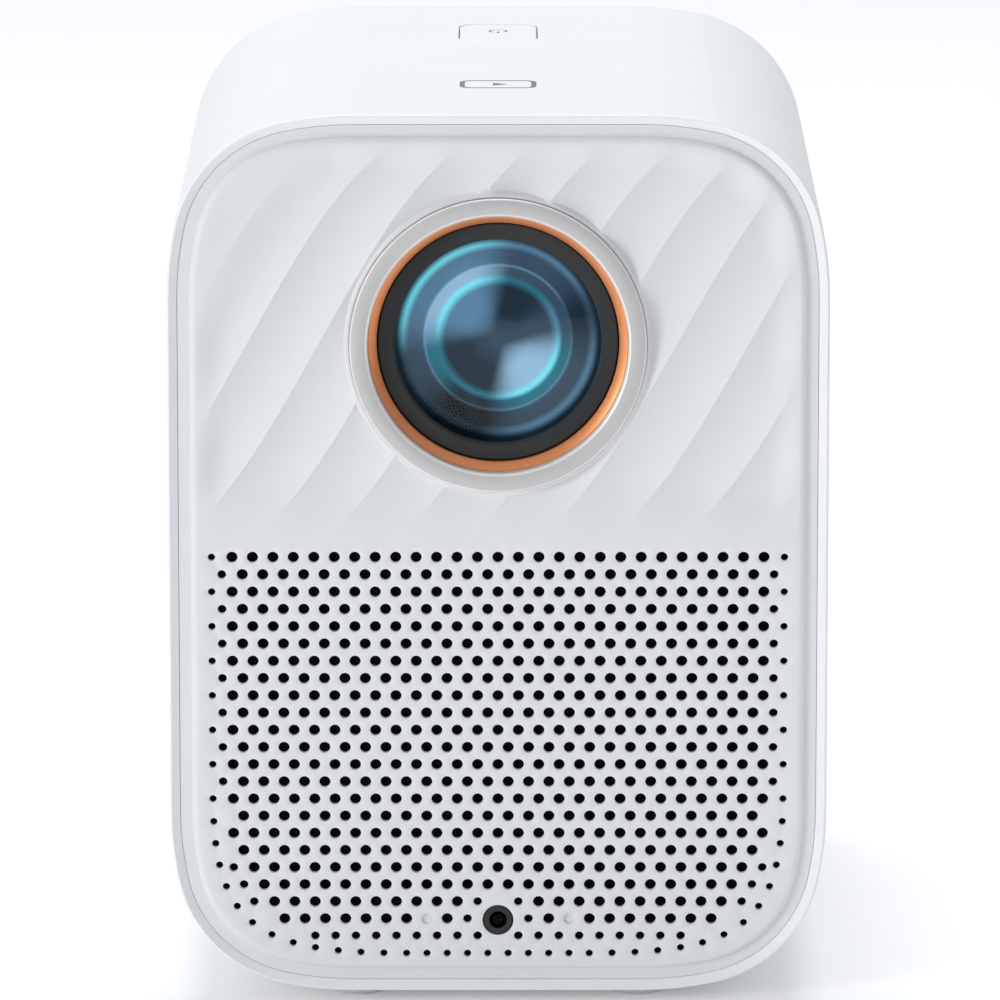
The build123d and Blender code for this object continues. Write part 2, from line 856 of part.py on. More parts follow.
def lens_mount():
    tube = tube_y(mount_outer_r, mount_inner_r, mount_front_y, engine_front, 0, lens_z)
    shoulder = tube_y(mount_outer_r + 1.6, mount_inner_r, ring_y - ring_shoulder, ring_y, 0, lens_z)
    flange = tube_y(mount_flange_r, mount_inner_r, engine_front - mount_back, engine_front, 0, lens_z)
    mount = tube + shoulder + flange
    slot_half = focus_travel + pin_r + running_gap
    slot_x = pin_r + running_gap
    top = lens_z + mount_outer_r + 1
    mount -= block((-slot_x, slot_x), (pin_y - slot_half, pin_y + slot_half), (lens_z, top))
    for x, z in mount_screw_places():
        mount -= rod_y(screw_r + foot_gap, engine_front - mount_back, engine_front, x, z)
    return mount


def mount_screw_places():
    circle = (mount_outer_r + mount_flange_r) / 2
    places = []
    for angle in (0, 90, 180, 270):
        turn = math.radians(angle)
        places.append((circle * math.cos(turn), lens_z + circle * math.sin(turn)))
    return places


def mount_screws():
    head_y = engine_front - mount_back
    length = mount_back + engine_wall - 0.2
    return [screw_y(x, z, head_y, length, -1) for x, z in mount_screw_places()]


# Focus drive

def gear_sketch(teeth, addendum):
    """A spur gear with involute flanks and one tooth centred on the local X axis."""
    pressure = math.radians(pressure_angle)
    pitch_r = gear_module * teeth / 2
    base_r = pitch_r * math.cos(pressure)
    tip_r = pitch_r + addendum * gear_module
    root_r = pitch_r - 1.25 * gear_module
    start_r = max(base_r, root_r)
    half_tooth = math.pi / (2 * teeth) - gear_backlash / (2 * pitch_r)
    tooth_rise = math.tan(pressure) - pressure

    def half_angle(radius):
        turn = math.acos(min(1.0, base_r / radius))
        return half_tooth + tooth_rise - (math.tan(turn) - turn)

    def polar(radius, angle):
        return radius * math.cos(angle), radius * math.sin(angle)

    radii = [start_r + (tip_r - start_r) * share for share in (0.0, 0.33, 0.67, 1.0)]
    step = 2 * math.pi / teeth
    edges = []
    for tooth in range(teeth):
        centre = tooth * step
        rising = [polar(radius, centre - half_angle(radius)) for radius in radii]
        falling = [polar(radius, centre + half_angle(radius)) for radius in radii[::-1]]
        foot_in = polar(root_r, centre - half_angle(start_r))
        foot_out = polar(root_r, centre + half_angle(start_r))
        next_in = polar(root_r, centre + step - half_angle(start_r))
        if start_r > root_r:
            edges.append(Line(foot_in, rising[0]))
            edges.append(Line(falling[-1], foot_out))
        edges.append(Spline(*rising))
        edges.append(ThreePointArc(rising[-1], polar(tip_r, centre), falling[0]))
        edges.append(Spline(*falling))
        edges.append(ThreePointArc(foot_out, polar(root_r, centre + step / 2), next_in))
    return make_face(edges)


def focus_ring():
    """The ring gear that turns on the mount; its inner groove carries the focus pin."""
    teeth = gear_sketch(ring_teeth, 0.8)
    gear = along_y(Pos(0, lens_z) * Rot(0, 0, motor_angle) * teeth, ring_y, ring_y + gear_face_width)
    ring = gear + rod_y(ring_body_r, ring_y, ring_back_y, 0, lens_z)
    ring -= rod_y(mount_outer_r + running_gap, ring_y - 1, ring_back_y + 1, 0, lens_z)
    groove = focus_travel + pin_r + 0.2
    groove_r = barrel_r + pin_reach + 0.3
    return ring - rod_y(groove_r, pin_y - groove, pin_y + groove, 0, lens_z)


def focus_ring_clip():
    """The open spring ring that keeps the focus ring on the mount."""
    clip = tube_y(mount_outer_r + 1.8, mount_outer_r, ring_back_y, ring_back_y + clip_thickness, 0, lens_z)
    low = lens_z - mount_outer_r
    gap = block((-2, 2), (ring_back_y - 1, ring_back_y + clip_thickness + 1), (low - 3, low + 3))
    return clip - gap


def focus_pinion():
    turn = motor_angle + 180 + 180 / pinion_teeth
    teeth = Pos(pinion_x, pinion_z) * Rot(0, 0, turn) * gear_sketch(pinion_teeth, 1.0)
    pinion = along_y(teeth, ring_y, ring_y + gear_face_width)
    shaft = rod_y(motor_shaft_r, ring_y - 0.5, motor_y + 3, pinion_x, pinion_z)
    return pinion + shaft


def focus_motor():
    can = rod_y(motor_r, motor_y, motor_y + motor_length, pinion_x, pinion_z)
    can = chamfer(can.edges().group_by(Axis.Y)[-1], 0.6)
    return can - rod_y(motor_shaft_r + running_gap, motor_y - 1, motor_y + 4, pinion_x, pinion_z)


def focus_bracket():
    """A clamp that holds the motor beside the lens mount."""
    turn = math.radians(motor_angle)
    reach = gear_centres / 2
    arm = Pos(reach * math.cos(turn), lens_z + reach * math.sin(turn)) * Rot(0, 0, motor_angle)
    outline = Pos(0, lens_z) * Circle(mount_outer_r + bracket_wall)
    outline += Pos(pinion_x, pinion_z) * Circle(motor_r + bracket_wall)
    outline += arm * Rectangle(gear_centres, 2 * motor_r)
    outline -= Pos(0, lens_z) * Circle(mount_outer_r)
    outline -= Pos(pinion_x, pinion_z) * Circle(motor_r)
    return along_y(outline, bracket_y, bracket_y + bracket_thickness)


# Light engine

def along_x(points, half_width):
    """Extrude a closed outline of (y, z) points to both sides of the middle."""
    profile = make_face(Polyline(*points, close=True))
    return extrude(Plane.YZ.offset(-half_width) * profile, amount=2 * half_width)


def slope_sum():
    """The fold mirror lies where y + z has this value."""
    return engine_middle_y + lens_z


def on_slope(size, lift):
    """A plate on the 45 degree face of the engine, lifted off it."""
    width, length, thickness = size
    off = (lift + thickness / 2) / math.sqrt(2)
    return Pos(0, engine_middle_y + off, lens_z + off) * Rot(-45, 0, 0) * Box(width, length, thickness)


def optic_plate(z, thickness, play=0.0):
    """A flat optic that slides into grooves in both side walls of the engine."""
    half = engine_half_width - engine_wall + slot_depth - 0.1 + play
    low_y = engine_front + engine_wall + 0.1 - play
    high_y = engine_back - engine_wall - 0.1 + play
    return block((-half, half), (low_y, high_y), (z, z + thickness + play))


def engine_housing():
    top = slope_sum()
    skin = engine_wall * math.sqrt(2)
    shell = along_x([
        (engine_front, engine_bottom),
        (engine_back, engine_bottom),
        (engine_back, top - engine_back),
        (engine_front, top - engine_front),
    ], engine_half_width)
    front = engine_front + engine_wall
    back = engine_back - engine_wall
    shell -= along_x([
        (front, engine_bottom - 1),
        (back, engine_bottom - 1),
        (back, top - skin - back),
        (front, top - skin - front),
    ], engine_half_width - engine_wall)
    shell -= on_slope((*mirror_window, 3 * engine_wall), -2 * engine_wall)
    shell -= rod_y(lens_stop_r + 4.5, engine_front - 1, front + 1, 0, lens_z)
    plates = (
        (funnel_top, funnel_flange),
        (heat_glass_z, heat_glass_t),
        (lower_fresnel_z, fresnel_t),
        (panel_z, lcd_t),
        (upper_fresnel_z, fresnel_t),
    )
    for z, thickness in plates:
        shell -= optic_plate(z, thickness, 0.1)
    for x, z in mount_screw_places():
        shell -= rod_y(screw_r + screw_gap, engine_front - 1, front + 1, x, z)
    return shell


def light_funnel():
    """The four-sided mirror cone between the light source and the liquid crystal panel."""
    low = engine_bottom + led_board_size[2] + led_chip[2] + 0.4
    wide, deep = funnel_mouth

    def cone(grow):
        return loft([
            Pos(0, engine_middle_y, low) * Rectangle(funnel_throat + grow, funnel_throat + grow),
            Pos(0, engine_middle_y, funnel_top) * Rectangle(wide + grow, deep + grow),
        ])
    funnel = cone(2 * funnel_wall) - cone(0)
    flange = optic_plate(funnel_top, funnel_flange)
    mouth = Pos(0, engine_middle_y, funnel_top) * Box(wide, deep, 4 * funnel_flange)
    return funnel + (flange - mouth)


def heat_sink():
    base = block(
        (-engine_half_width, engine_half_width),
        (engine_front, engine_back),
        (engine_bottom - sink_base, engine_bottom),
    )
    count = int(2 * engine_half_width / fin_pitch)
    low = engine_bottom - sink_base - fin_height
    fins = []
    for index in range(count):
        x = (index - (count - 1) / 2) * fin_pitch
        fins.append(block(
            (x - fin_thickness / 2, x + fin_thickness / 2),
            (engine_front, engine_back),
            (low, engine_bottom - sink_base),
        ))
    return base + fins


def led_board():
    width, depth, thickness = led_board_size
    centre = Pos(0, engine_middle_y, engine_bottom + thickness / 2)
    return centre * Box(width, depth, thickness)


def led_emitter():
    width, depth, thickness = led_chip
    z = engine_bottom + led_board_size[2] + thickness / 2
    return Pos(0, engine_middle_y, z) * Box(width, depth, thickness)


def side_bracket(side):
    """A folded sheet upright that carries the engine on the tray."""
    inner = engine_half_width
    outer = inner + bracket_sheet
    y_range = (side_bracket_front, side_bracket_back)
    upright = block((inner, outer), y_range, (tray_top, side_bracket_top))
    foot = block((inner - side_bracket_foot, outer), y_range, (tray_top, tray_top + bracket_sheet))
    bracket = upright + foot
    for y in bracket_screw_ys():
        hole = Pos(inner, y, bracket_screw_z()) * Rot(0, 90, 0) * Cylinder(screw_r + foot_gap, 8)
        bracket -= hole
    return bracket if side > 0 else mirror(bracket, Plane.YZ)


def bracket_screw_ys():
    return (side_bracket_front + 6, side_bracket_back - 6)


def bracket_screw_z():
    return engine_bottom - sink_base / 2


def engine_screws():
    """Screws that hold the two side brackets to the base of the heat sink."""
    screws = []
    start = engine_half_width + bracket_sheet
    for side in (-1, 1):
        for y in bracket_screw_ys():
            head = Pos(side * (start + screw_head_h / 2), y, bracket_screw_z()) * Rot(0, 90, 0)
            screw = head * Cylinder(screw_head_r, screw_head_h)
            shank = Pos(side * (start - bracket_sheet / 2), y, bracket_screw_z()) * Rot(0, 90, 0)
            screws.append(screw + shank * Cylinder(screw_r, bracket_sheet))
    return screws


# Fan

def fan_frame():
    frame = along_y(Pos(0, fan_z) * RectangleRounded(fan_size, fan_size, 4), fan_front_y, fan_back_y)
    frame -= rod_y(fan_bore_r, fan_front_y, fan_back_y, 0, fan_z)
    strut_y = fan_back_y - 2.4
    for angle in (30, 150, 270):
        arm = Pos(0, fan_z) * Rot(0, 0, angle) * Pos(fan_bore_r / 2 + 1, 0) * Rectangle(fan_bore_r, 3)
        frame += along_y(arm, strut_y, fan_back_y)
    frame += rod_y(fan_hub_r, strut_y, fan_back_y, 0, fan_z)
    frame -= rod_y(fan_shaft_r + running_gap, strut_y - 1, fan_back_y - 0.6, 0, fan_z)
    half = fan_size / 2 - fan_hole_inset
    for x in (-half, half):
        for z in (fan_z - half, fan_z + half):
            frame -= rod_y(fan_hole_r, fan_front_y, fan_back_y, x, z)
    return frame


def fan_rotor():
    front = fan_front_y + 0.6
    back = fan_back_y - 3.2
    hub = rod_y(fan_hub_r, front, back, 0, fan_z)
    hub = fillet(hub.edges().group_by(Axis.Y)[0], 1.2)
    middle = (front + back) / 2
    reach = fan_bore_r - fan_tip_gap
    envelope = tube_y(reach, fan_hub_r - 1, front + 0.4, back, 0, fan_z)
    length = reach - fan_hub_r + 4
    for index in range(fan_blades):
        turn = Pos(0, middle, fan_z) * Rot(0, index * 360 / fan_blades, 0)
        place = turn * Pos(fan_hub_r + length / 2 - 2, 0, 0) * Rot(fan_blade_pitch, 0, 0)
        hub += (place * Box(length, fan_blade_t, fan_blade_chord)) & envelope
    return hub + rod_y(fan_shaft_r, back - 1, fan_back_y - 0.8, 0, fan_z)


# Loudspeakers

def speaker_baffle():
    section = body_outline(sleeve_wall + baffle_inset)
    section = below(section, baffle_top) - below(section, tray_top)
    for x in (-speaker_x, speaker_x):
        section -= Pos(x, speaker_rise) * Circle(speaker_hole_r)
    notch_top = window_z + camera_board / 2 + 1
    notch = Pos(0, (tray_top + notch_top) / 2) * Rectangle(camera_board + 3, notch_top - tray_top)
    return along_y(section - notch, baffle_y, baffle_back_y)


def speaker_basket(x):
    front = baffle_back_y
    back = front + speaker_depth
    return turned([
        (speaker_flange_r, front),
        (speaker_flange_r, front + basket_sheet),
        (speaker_hole_r, front + basket_sheet),
        (magnet_r, back),
        (coil_r + 1.2, back),
        (coil_r + 1.2, back - basket_sheet),
        (magnet_r - 1, back - basket_sheet),
        (speaker_hole_r - 1, front + basket_sheet),
        (speaker_hole_r - 1, front),
    ], x, speaker_rise)


def speaker_magnet(x):
    front = baffle_back_y + speaker_depth
    outer_gap = coil_r + coil_gap
    inner_gap = coil_r - cone_paper - coil_gap
    magnet = rod_y(magnet_r, front, front + magnet_length, x, speaker_rise)
    return magnet - tube_y(outer_gap, inner_gap, front, front + coil_depth + 1, x, speaker_rise)


def speaker_cone(x):
    """Paper cone, dust cap and coil former in one moving piece."""
    front = baffle_back_y + 0.4
    neck = front + cone_depth
    coil_end = baffle_back_y + speaker_depth + coil_depth - cone_travel
    return turned([
        (cone_r, front),
        (cone_r, front + cone_paper),
        (coil_r, neck + cone_paper),
        (coil_r, coil_end),
        (coil_r - cone_paper, coil_end),
        (coil_r - cone_paper, neck),
        (coil_r - 2.4, neck - 1.8),
        (0, neck - 2.4),
        (0, neck - 3.0),
        (coil_r - 2.2, neck - 2.4),
        (coil_r + 0.4, neck - 1.0),
    ], x, speaker_rise)


def speaker_surround(x):
    """The rubber roll between the cone and the basket."""
    front = baffle_back_y
    roll_r = (cone_r + 0.5 + speaker_hole_r - 1.2) / 2
    roll = Pos(roll_r, front) * (Circle(surround_r - 0.2) - Circle(surround_r - 0.7))
    roll &= Pos(roll_r, front - 5) * Rectangle(10, 10)
    lip = Pos((roll_r + surround_r - 0.5 + speaker_flange_r - 0.5) / 2, front - 0.25)
    ring = lip * Rectangle(speaker_flange_r - 0.5 - roll_r - surround_r + 0.5, 0.5)
    ring = ring & Pos(speaker_hole_r / 2, front) * Rectangle(speaker_hole_r - 0.1, 10)
    return Pos(x, 0, speaker_rise) * revolve(roll + ring, Axis.Y)


# Mainboard and sockets

def mainboard():
    board = block(
        (-board_half_width, board_half_width), (board_front, board_back), (board_z, board_top_z)
    )
    for x in (-board_hole_x, board_hole_x):
        for y in (board_front + board_hole_inset, board_back - board_hole_inset):
            board -= rod_z(screw_r + foot_gap, board_z, board_top_z, x, y)
    return board


def board_screws():
    return [
        screw_z(x, y, board_top_z, board_t + board_screw_length - 0.5, -1)
        for x in (-board_hole_x, board_hole_x)
        for y in (board_front + board_hole_inset, board_back - board_hole_inset)
    ]


def socket_case(x, size):
    width, depth, height = size
    return block(
        (x - width / 2, x + width / 2),
        (socket_reach - depth, socket_reach),
        (board_top_z, board_top_z + height),
    )


def dc_inlet():
    """The round inlet for the supply plug, with its centre pin."""
    z = board_top_z + dc_size[2] / 2
    jack = socket_case(dc_x, dc_size)
    return jack - tube_y(dc_bore_r, dc_pin_r, socket_reach - dc_depth, socket_reach + 1, dc_x, z)


def audio_socket():
    z = board_top_z + audio_size[2] / 2
    socket = socket_case(audio_x, audio_size)
    return socket - rod_y(audio_bore_r, socket_reach - audio_depth, socket_reach, audio_x, z)


def flat_socket(x, size, tongue):
    """A sheet-metal socket with a contact tongue inside."""
    width, depth, height = size
    z = board_top_z + height / 2
    hollow = block(
        (x - width / 2 + socket_sheet, x + width / 2 - socket_sheet),
        (socket_reach - depth + 2, socket_reach),
        (board_top_z + socket_sheet, board_top_z + height - socket_sheet),
    )
    blade_w, blade_d, blade_t = tongue
    start = socket_reach - depth + 1.5
    blade = block(
        (x - blade_w / 2, x + blade_w / 2), (start, start + blade_d), (z - blade_t / 2, z + blade_t / 2)
    )
    return socket_case(x, size) - hollow + blade


# Sensor window

def camera_housing():
    """A black tube that looks out through the face, on its small board."""
    back = face_y + camera_length
    tube = rod_y(window_r, face_y + camera_recess, back, 0, window_z)
    tube = chamfer(tube.edges().group_by(Axis.Y)[0], camera_chamfer)
    return tube - rod_y(window_lens_r, face_y, face_y + camera_bore_depth, 0, window_z)


def camera_lens():
    ball = Pos(0, face_y + camera_ball_recess, window_z) * Sphere(camera_ball_r)
    seat = rod_y(window_lens_r - camera_lens_gap, face_y, face_y + camera_bore_depth, 0, window_z)
    return seat & ball


def camera_board_plate():
    back = face_y + camera_length
    half = camera_board / 2
    return block((-half, half), (back, back + camera_board_t), (window_z - half, window_z + half))


# Power button

def power_symbol_sketch():
    """The usual broken ring with a short bar in its gap, which faces the front."""
    ring = Circle(symbol_r) - Circle(symbol_r - symbol_line)
    gap = 2 * symbol_r * math.tan(math.radians(symbol_gap_angle / 2))
    ring -= make_face(Polyline((0, 0), (gap / 2, -symbol_r), (gap / 2, -2 * symbol_r),
                               (-gap / 2, -2 * symbol_r), (-gap / 2, -symbol_r), close=True))
    bar = Pos(0, -symbol_r * 0.8) * Rectangle(symbol_line, symbol_r)
    return Pos(0, button_y + 1.7) * (ring + bar)


def power_button():
    low = inner_top_z - button_flange_t
    cap = along_z(Pos(0, button_y) * RectangleRounded(*button_size, button_corner), low, top_z)
    cap = fillet(cap.edges().group_by(Axis.Z)[-1], 0.3)
    wide = button_size[0] + 2 * button_flange
    deep = button_size[1] + 2 * button_flange
    flange = RectangleRounded(wide, deep, button_corner + button_flange)
    cap += along_z(Pos(0, button_y) * flange, low, inner_top_z - running_gap)
    hollow = RectangleRounded(button_size[0] - 3, button_size[1] - 3, button_corner - 1.5)
    cap -= along_z(Pos(0, button_y) * hollow, low, top_z - 1.6)
    cap += rod_z(button_stem_r, plunger_top_z(), top_z - 1, 0, button_y)
    return cap - along_z(power_symbol_sketch(), top_z - inlay_depth, top_z + 1)


def plunger_top_z():
    return button_board_z + switch_size[2] - plunger_sink + plunger_length


def power_symbol():
    return along_z(power_symbol_sketch(), top_z - inlay_depth, top_z)


def switch_plunger():
    return rod_z(switch_plunger_r, plunger_top_z() - plunger_length, plunger_top_z(), 0, button_y)


def button_switch():
    width, depth, height = switch_size
    body = Pos(0, button_y, button_board_z + height / 2) * Box(width, depth, height)
    floor = plunger_top_z() - plunger_length - button_travel - 0.2
    return body - rod_z(switch_plunger_r + running_gap, floor, button_board_z + height, 0, button_y)


def button_board():
    width, depth, thickness = button_board_size
    board = Pos(0, button_y, button_board_z - thickness / 2) * Box(width, depth, thickness)
    for x in (-button_post_x, button_post_x):
        board -= rod_z(screw_r + foot_gap, button_board_z - thickness, button_board_z, x, button_y)
    return board


def button_screws():
    head_z = button_board_z - button_board_size[2]
    return [screw_z(x, button_y, head_z, 6.0) for x in (-button_post_x, button_post_x)]


save("outer_sleeve", outer_sleeve())
save("top_mark", along_z(mark_sketch(), top_z - inlay_depth, top_z))
save("front_panel", front_panel())
save("grille_cloth", grille_cloth())
save("rear_cover", rear_cover())
save("base_tray", base_tray())
save("tripod_bush", tripod_bush())
save("rubber_feet", Compound([rubber_foot(x, y) for x in (-foot_x, foot_x) for y in foot_ys]))
save("case_screws", Compound(rear_cover_screws() + tray_screws()))
save("inner_screws", Compound(mount_screws() + engine_screws() + board_screws() + button_screws()))
save("lens_trim_ring", lens_trim_ring())
save("lens_accent_ring", lens_accent_ring())
save("lens_front_ring", lens_front_ring())
save("front_lens", front_lens())
save("lens_barrel", lens_barrel())
for number, element in enumerate(lens_elements(), start=1):
    save(f"inner_lens_{number}", element)
save("lens_spacers", Compound(lens_spacers()))
save("lens_rear_ring", lens_rear_ring())
save("focus_pin", focus_pin())
save("lens_mount", lens_mount())
save("focus_ring", focus_ring())
save("focus_ring_clip", focus_ring_clip())
save("focus_pinion", focus_pinion())
save("focus_motor", focus_motor())
save("focus_bracket", focus_bracket())
save("engine_housing", engine_housing())
save("fold_mirror", on_slope(mirror_size, 0))
save("mirror_cover", on_slope(mirror_cover, mirror_size[2]))
save("light_funnel", light_funnel())
save("heat_glass", optic_plate(heat_glass_z, heat_glass_t))
save("fresnel_lenses", Compound([optic_plate(z, fresnel_t) for z in (lower_fresnel_z, upper_fresnel_z)]))
save("liquid_crystal_panel", optic_plate(panel_z, lcd_t))
save("led_board", led_board())
save("led_emitter", led_emitter())
save("heat_sink", heat_sink())
save("side_brackets", Compound([side_bracket(side) for side in (-1, 1)]))
save("fan_frame", fan_frame())
save("fan_rotor", fan_rotor())
save("speaker_baffle", speaker_baffle())
speaker_sides = {"left": -speaker_x, "right": speaker_x}
save("speaker_baskets", Compound([speaker_basket(x) for x in speaker_sides.values()]))
save("speaker_magnets", Compound([speaker_magnet(x) for x in speaker_sides.values()]))
save("speaker_surrounds", Compound([speaker_surround(x) for x in speaker_sides.values()]))
for side, x in speaker_sides.items():
    save(f"speaker_cone_{side}", speaker_cone(x))
save("mainboard", mainboard())
save("dc_inlet", dc_inlet())
save("audio_socket", audio_socket())
save("usb_socket", flat_socket(usb_x, usb_size, usb_tongue))
save("hdmi_socket", flat_socket(hdmi_x, hdmi_size, hdmi_tongue))
save("camera_housing", camera_housing())
save("camera_lens", camera_lens())
save("camera_board", camera_board_plate())
save("power_button", power_button())
save("power_symbol", power_symbol())
save("switch_plunger", switch_plunger())
save("button_switch", button_switch())
save("button_board", button_board())
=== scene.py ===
# %% [markdown]
# # A small home projector
# The imported model is the frame: a white moulded sleeve, a pale face with a fine hole field and
# wave relief, a focusing lens, and the light engine, fan, loudspeakers and boards inside. The
# cells below keep every solid of that frame where it is, give each one the finish of its real
# material, and model the few pieces whose surface a plain solid can't show.

# %% Load the frame
import json
import math

import bpy
import numpy as np
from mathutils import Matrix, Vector
from mathutils.geometry import delaunay_2d_cdt


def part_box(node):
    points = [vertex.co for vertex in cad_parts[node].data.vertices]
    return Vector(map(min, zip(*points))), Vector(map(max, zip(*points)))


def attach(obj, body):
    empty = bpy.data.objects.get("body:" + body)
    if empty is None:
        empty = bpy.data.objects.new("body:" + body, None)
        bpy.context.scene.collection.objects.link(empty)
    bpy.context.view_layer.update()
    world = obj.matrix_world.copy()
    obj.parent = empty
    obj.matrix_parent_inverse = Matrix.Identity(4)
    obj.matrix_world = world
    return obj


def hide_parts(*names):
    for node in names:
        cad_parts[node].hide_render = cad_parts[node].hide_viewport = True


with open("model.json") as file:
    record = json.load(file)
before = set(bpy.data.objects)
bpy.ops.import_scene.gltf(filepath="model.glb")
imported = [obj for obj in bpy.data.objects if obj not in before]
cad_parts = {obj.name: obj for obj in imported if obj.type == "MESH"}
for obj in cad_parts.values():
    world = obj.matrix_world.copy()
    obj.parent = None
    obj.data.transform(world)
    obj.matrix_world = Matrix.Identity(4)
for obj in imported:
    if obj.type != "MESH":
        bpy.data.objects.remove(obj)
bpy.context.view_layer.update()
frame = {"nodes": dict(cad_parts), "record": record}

MM = 0.001
nodes = frame["nodes"]

# %% [markdown]
# Everything is measured from the frame. The sleeve gives the body's width and height, the face
# gives the plane that the relief is cut into, and the barrel gives the lens axis. The sizes are
# in millimetres, because that is how a moulding is drawn.

# %% Places taken from the frame


def box_mm(node):
    return [Vector(corner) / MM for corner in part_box(node)]


sleeve_low, sleeve_high = box_mm("outer_sleeve")
panel_low = box_mm("front_panel")[0]
barrel_low, barrel_high = box_mm("lens_barrel")
body_width = sleeve_high.x - sleeve_low.x
body_height = sleeve_high.z - sleeve_low.z
foot_z = sleeve_low.z
middle_z = foot_z + body_height / 2
face_y = panel_low.y
lens_z = (barrel_low.z + barrel_high.z) / 2
barrel_y = barrel_low.y
print("face at", round(face_y, 2), "lens axis at", round(lens_z, 2))

# %% [markdown]
# ## Camera, floor and light
# The view is a long lens about one and a half metres away, tipped down by a little more than
# eleven degrees, so the uprights of the body lean together only slightly. A pale floor and a
# broad soft light from above left give the gentle shading of a studio table.

# %% Camera
TILT = math.radians(11.43)
DISTANCE = 1.5218
AIM = Vector((0.00034, face_y * MM, 0.0885))
camera_data = bpy.data.cameras.new("camera")
camera_data.sensor_width = 36.0
camera_data.lens = 320.8
camera_data.clip_end = 20.0
camera = bpy.data.objects.new("camera", camera_data)
camera.location = AIM + Vector((0.0, -math.cos(TILT), math.sin(TILT))) * DISTANCE
camera.rotation_euler = (math.pi / 2 - TILT, 0.0, 0.0)
bpy.context.scene.collection.objects.link(camera)
bpy.context.scene.camera = camera
bpy.context.scene.view_settings.view_transform = "Standard"
print("camera", [round(value, 4) for value in camera.location])


# %% Node helper
def add_node(tree, kind, inputs=None, **settings):
    """One node with its settings; an input is a value or the socket that feeds it."""
    node = tree.nodes.new(kind)
    for name, value in settings.items():
        setattr(node, name, value)
    for name, value in (inputs or {}).items():
        socket = node.inputs[name]
        if isinstance(value, bpy.types.NodeSocket):
            tree.links.new(value, socket)
        else:
            socket.default_value = value
    return node


def linear(hex_colour):
    """An sRGB hex colour as the linear values that the shader works in."""
    parts = [int(hex_colour[index:index + 2], 16) / 255 for index in (1, 3, 5)]
    return (*[c / 12.92 if c <= 0.04045 else ((c + 0.055) / 1.055) ** 2.4 for c in parts], 1.0)


# %% Sky, lamps and floor
def studio_sky():
    """A pale sky, brighter overhead than at the horizon, so tops read lighter than sides."""
    world = bpy.data.worlds.new("studio")
    world.use_nodes = True
    tree = world.node_tree
    tree.nodes.clear()
    coords = add_node(tree, "ShaderNodeTexCoord")
    split = add_node(tree, "ShaderNodeSeparateXYZ", {"Vector": coords.outputs["Generated"]})
    height = add_node(tree, "ShaderNodeMapRange", {
        "Value": split.outputs["Z"], "From Min": -0.1, "From Max": 0.9,
        "To Min": 0.2, "To Max": 0.72,
    })
    sky = add_node(tree, "ShaderNodeBackground", {
        "Color": linear("#f7faff"), "Strength": height.outputs["Result"],
    })
    add_node(tree, "ShaderNodeOutputWorld", {"Surface": sky.outputs["Background"]})
    bpy.context.scene.world = world


def soft_box(name, place, aim, size, power):
    data = bpy.data.lights.new(name, "AREA")
    data.shape = "RECTANGLE"
    data.size, data.size_y = size
    data.energy = power
    light = bpy.data.objects.new(name, data)
    light.location = place
    light.rotation_euler = (Vector(aim) - Vector(place)).to_track_quat("-Z", "Y").to_euler()
    bpy.context.scene.collection.objects.link(light)


studio_sky()
soft_box("key", (-1.85, -1.45, 0.6), (0, -0.05, 0.09), (0.7, 0.7), 18.5)
soft_box("overhead", (0.0, 0.35, 1.7), (0, 0.0, 0.1), (0.9, 0.9), 15.0)

bpy.ops.object.select_all(action="DESELECT")
bpy.ops.mesh.primitive_plane_add(size=12.0, location=(0, 0, 0))
floor = bpy.context.object
floor.name = "floor"
print("studio lit")

# %% [markdown]
# ## Finishes
# Most of the object is injection-moulded plastic. Its surface copies the spark-eroded mould, so
# it has a fine satin grain that breaks up reflections without being seen as bumps. Metals get a
# grain that follows how they were made. One function builds what these share: a fine grain in
# millimetres for the relief, and a broad cloud that lets the colour drift between two near
# shades, as real mouldings and coatings do.


# %% A grained surface
def grained(name, colour, shade, rough, grain, relief, stretch=(1, 1, 1), **sockets):
    """A finish over a grain of that many millimetres; stretch makes it run along an axis."""
    material = bpy.data.materials.new(name)
    material.use_nodes = True
    tree = material.node_tree
    shader = tree.nodes["Principled BSDF"]
    coords = add_node(tree, "ShaderNodeTexCoord")
    scaled = add_node(tree, "ShaderNodeMapping", {
        "Vector": coords.outputs["Object"], "Scale": [value / (grain * MM) for value in stretch],
    })
    fine = add_node(tree, "ShaderNodeTexNoise", {
        "Vector": scaled.outputs["Vector"], "Scale": 1.0, "Detail": 2.0, "Roughness": 0.6,
    })
    cloud = add_node(tree, "ShaderNodeTexNoise", {
        "Vector": coords.outputs["Object"], "Scale": 1 / (18 * MM), "Detail": 3.0,
    })
    drift = add_node(tree, "ShaderNodeValToRGB", {"Fac": cloud.outputs["Fac"]})
    drift.color_ramp.elements[0].position = 0.3
    drift.color_ramp.elements[0].color = linear(colour)
    drift.color_ramp.elements[1].position = 0.7
    drift.color_ramp.elements[1].color = linear(shade)
    gloss = add_node(tree, "ShaderNodeMapRange", {
        "Value": fine.outputs["Fac"], "To Min": rough * 0.9, "To Max": rough * 1.1,
    })
    bump = add_node(tree, "ShaderNodeBump", {
        "Height": fine.outputs["Fac"], "Strength": 1.0, "Distance": relief * MM,
    })
    tree.links.new(drift.outputs["Color"], shader.inputs["Base Color"])
    tree.links.new(gloss.outputs["Result"], shader.inputs["Roughness"])
    tree.links.new(bump.outputs["Normal"], shader.inputs["Normal"])
    for socket, value in sockets.items():
        shader.inputs[socket.replace("_", " ")].default_value = value
    return material


# %% [markdown]
# The plastics come first. The sleeve is white ABS with a satin grain; the face is the same
# plastic in a slightly greyer shade. Dark parts inside are glass-filled and duller. Rubber is
# matt and a little worn, and the gear is natural acetal, which is waxy.

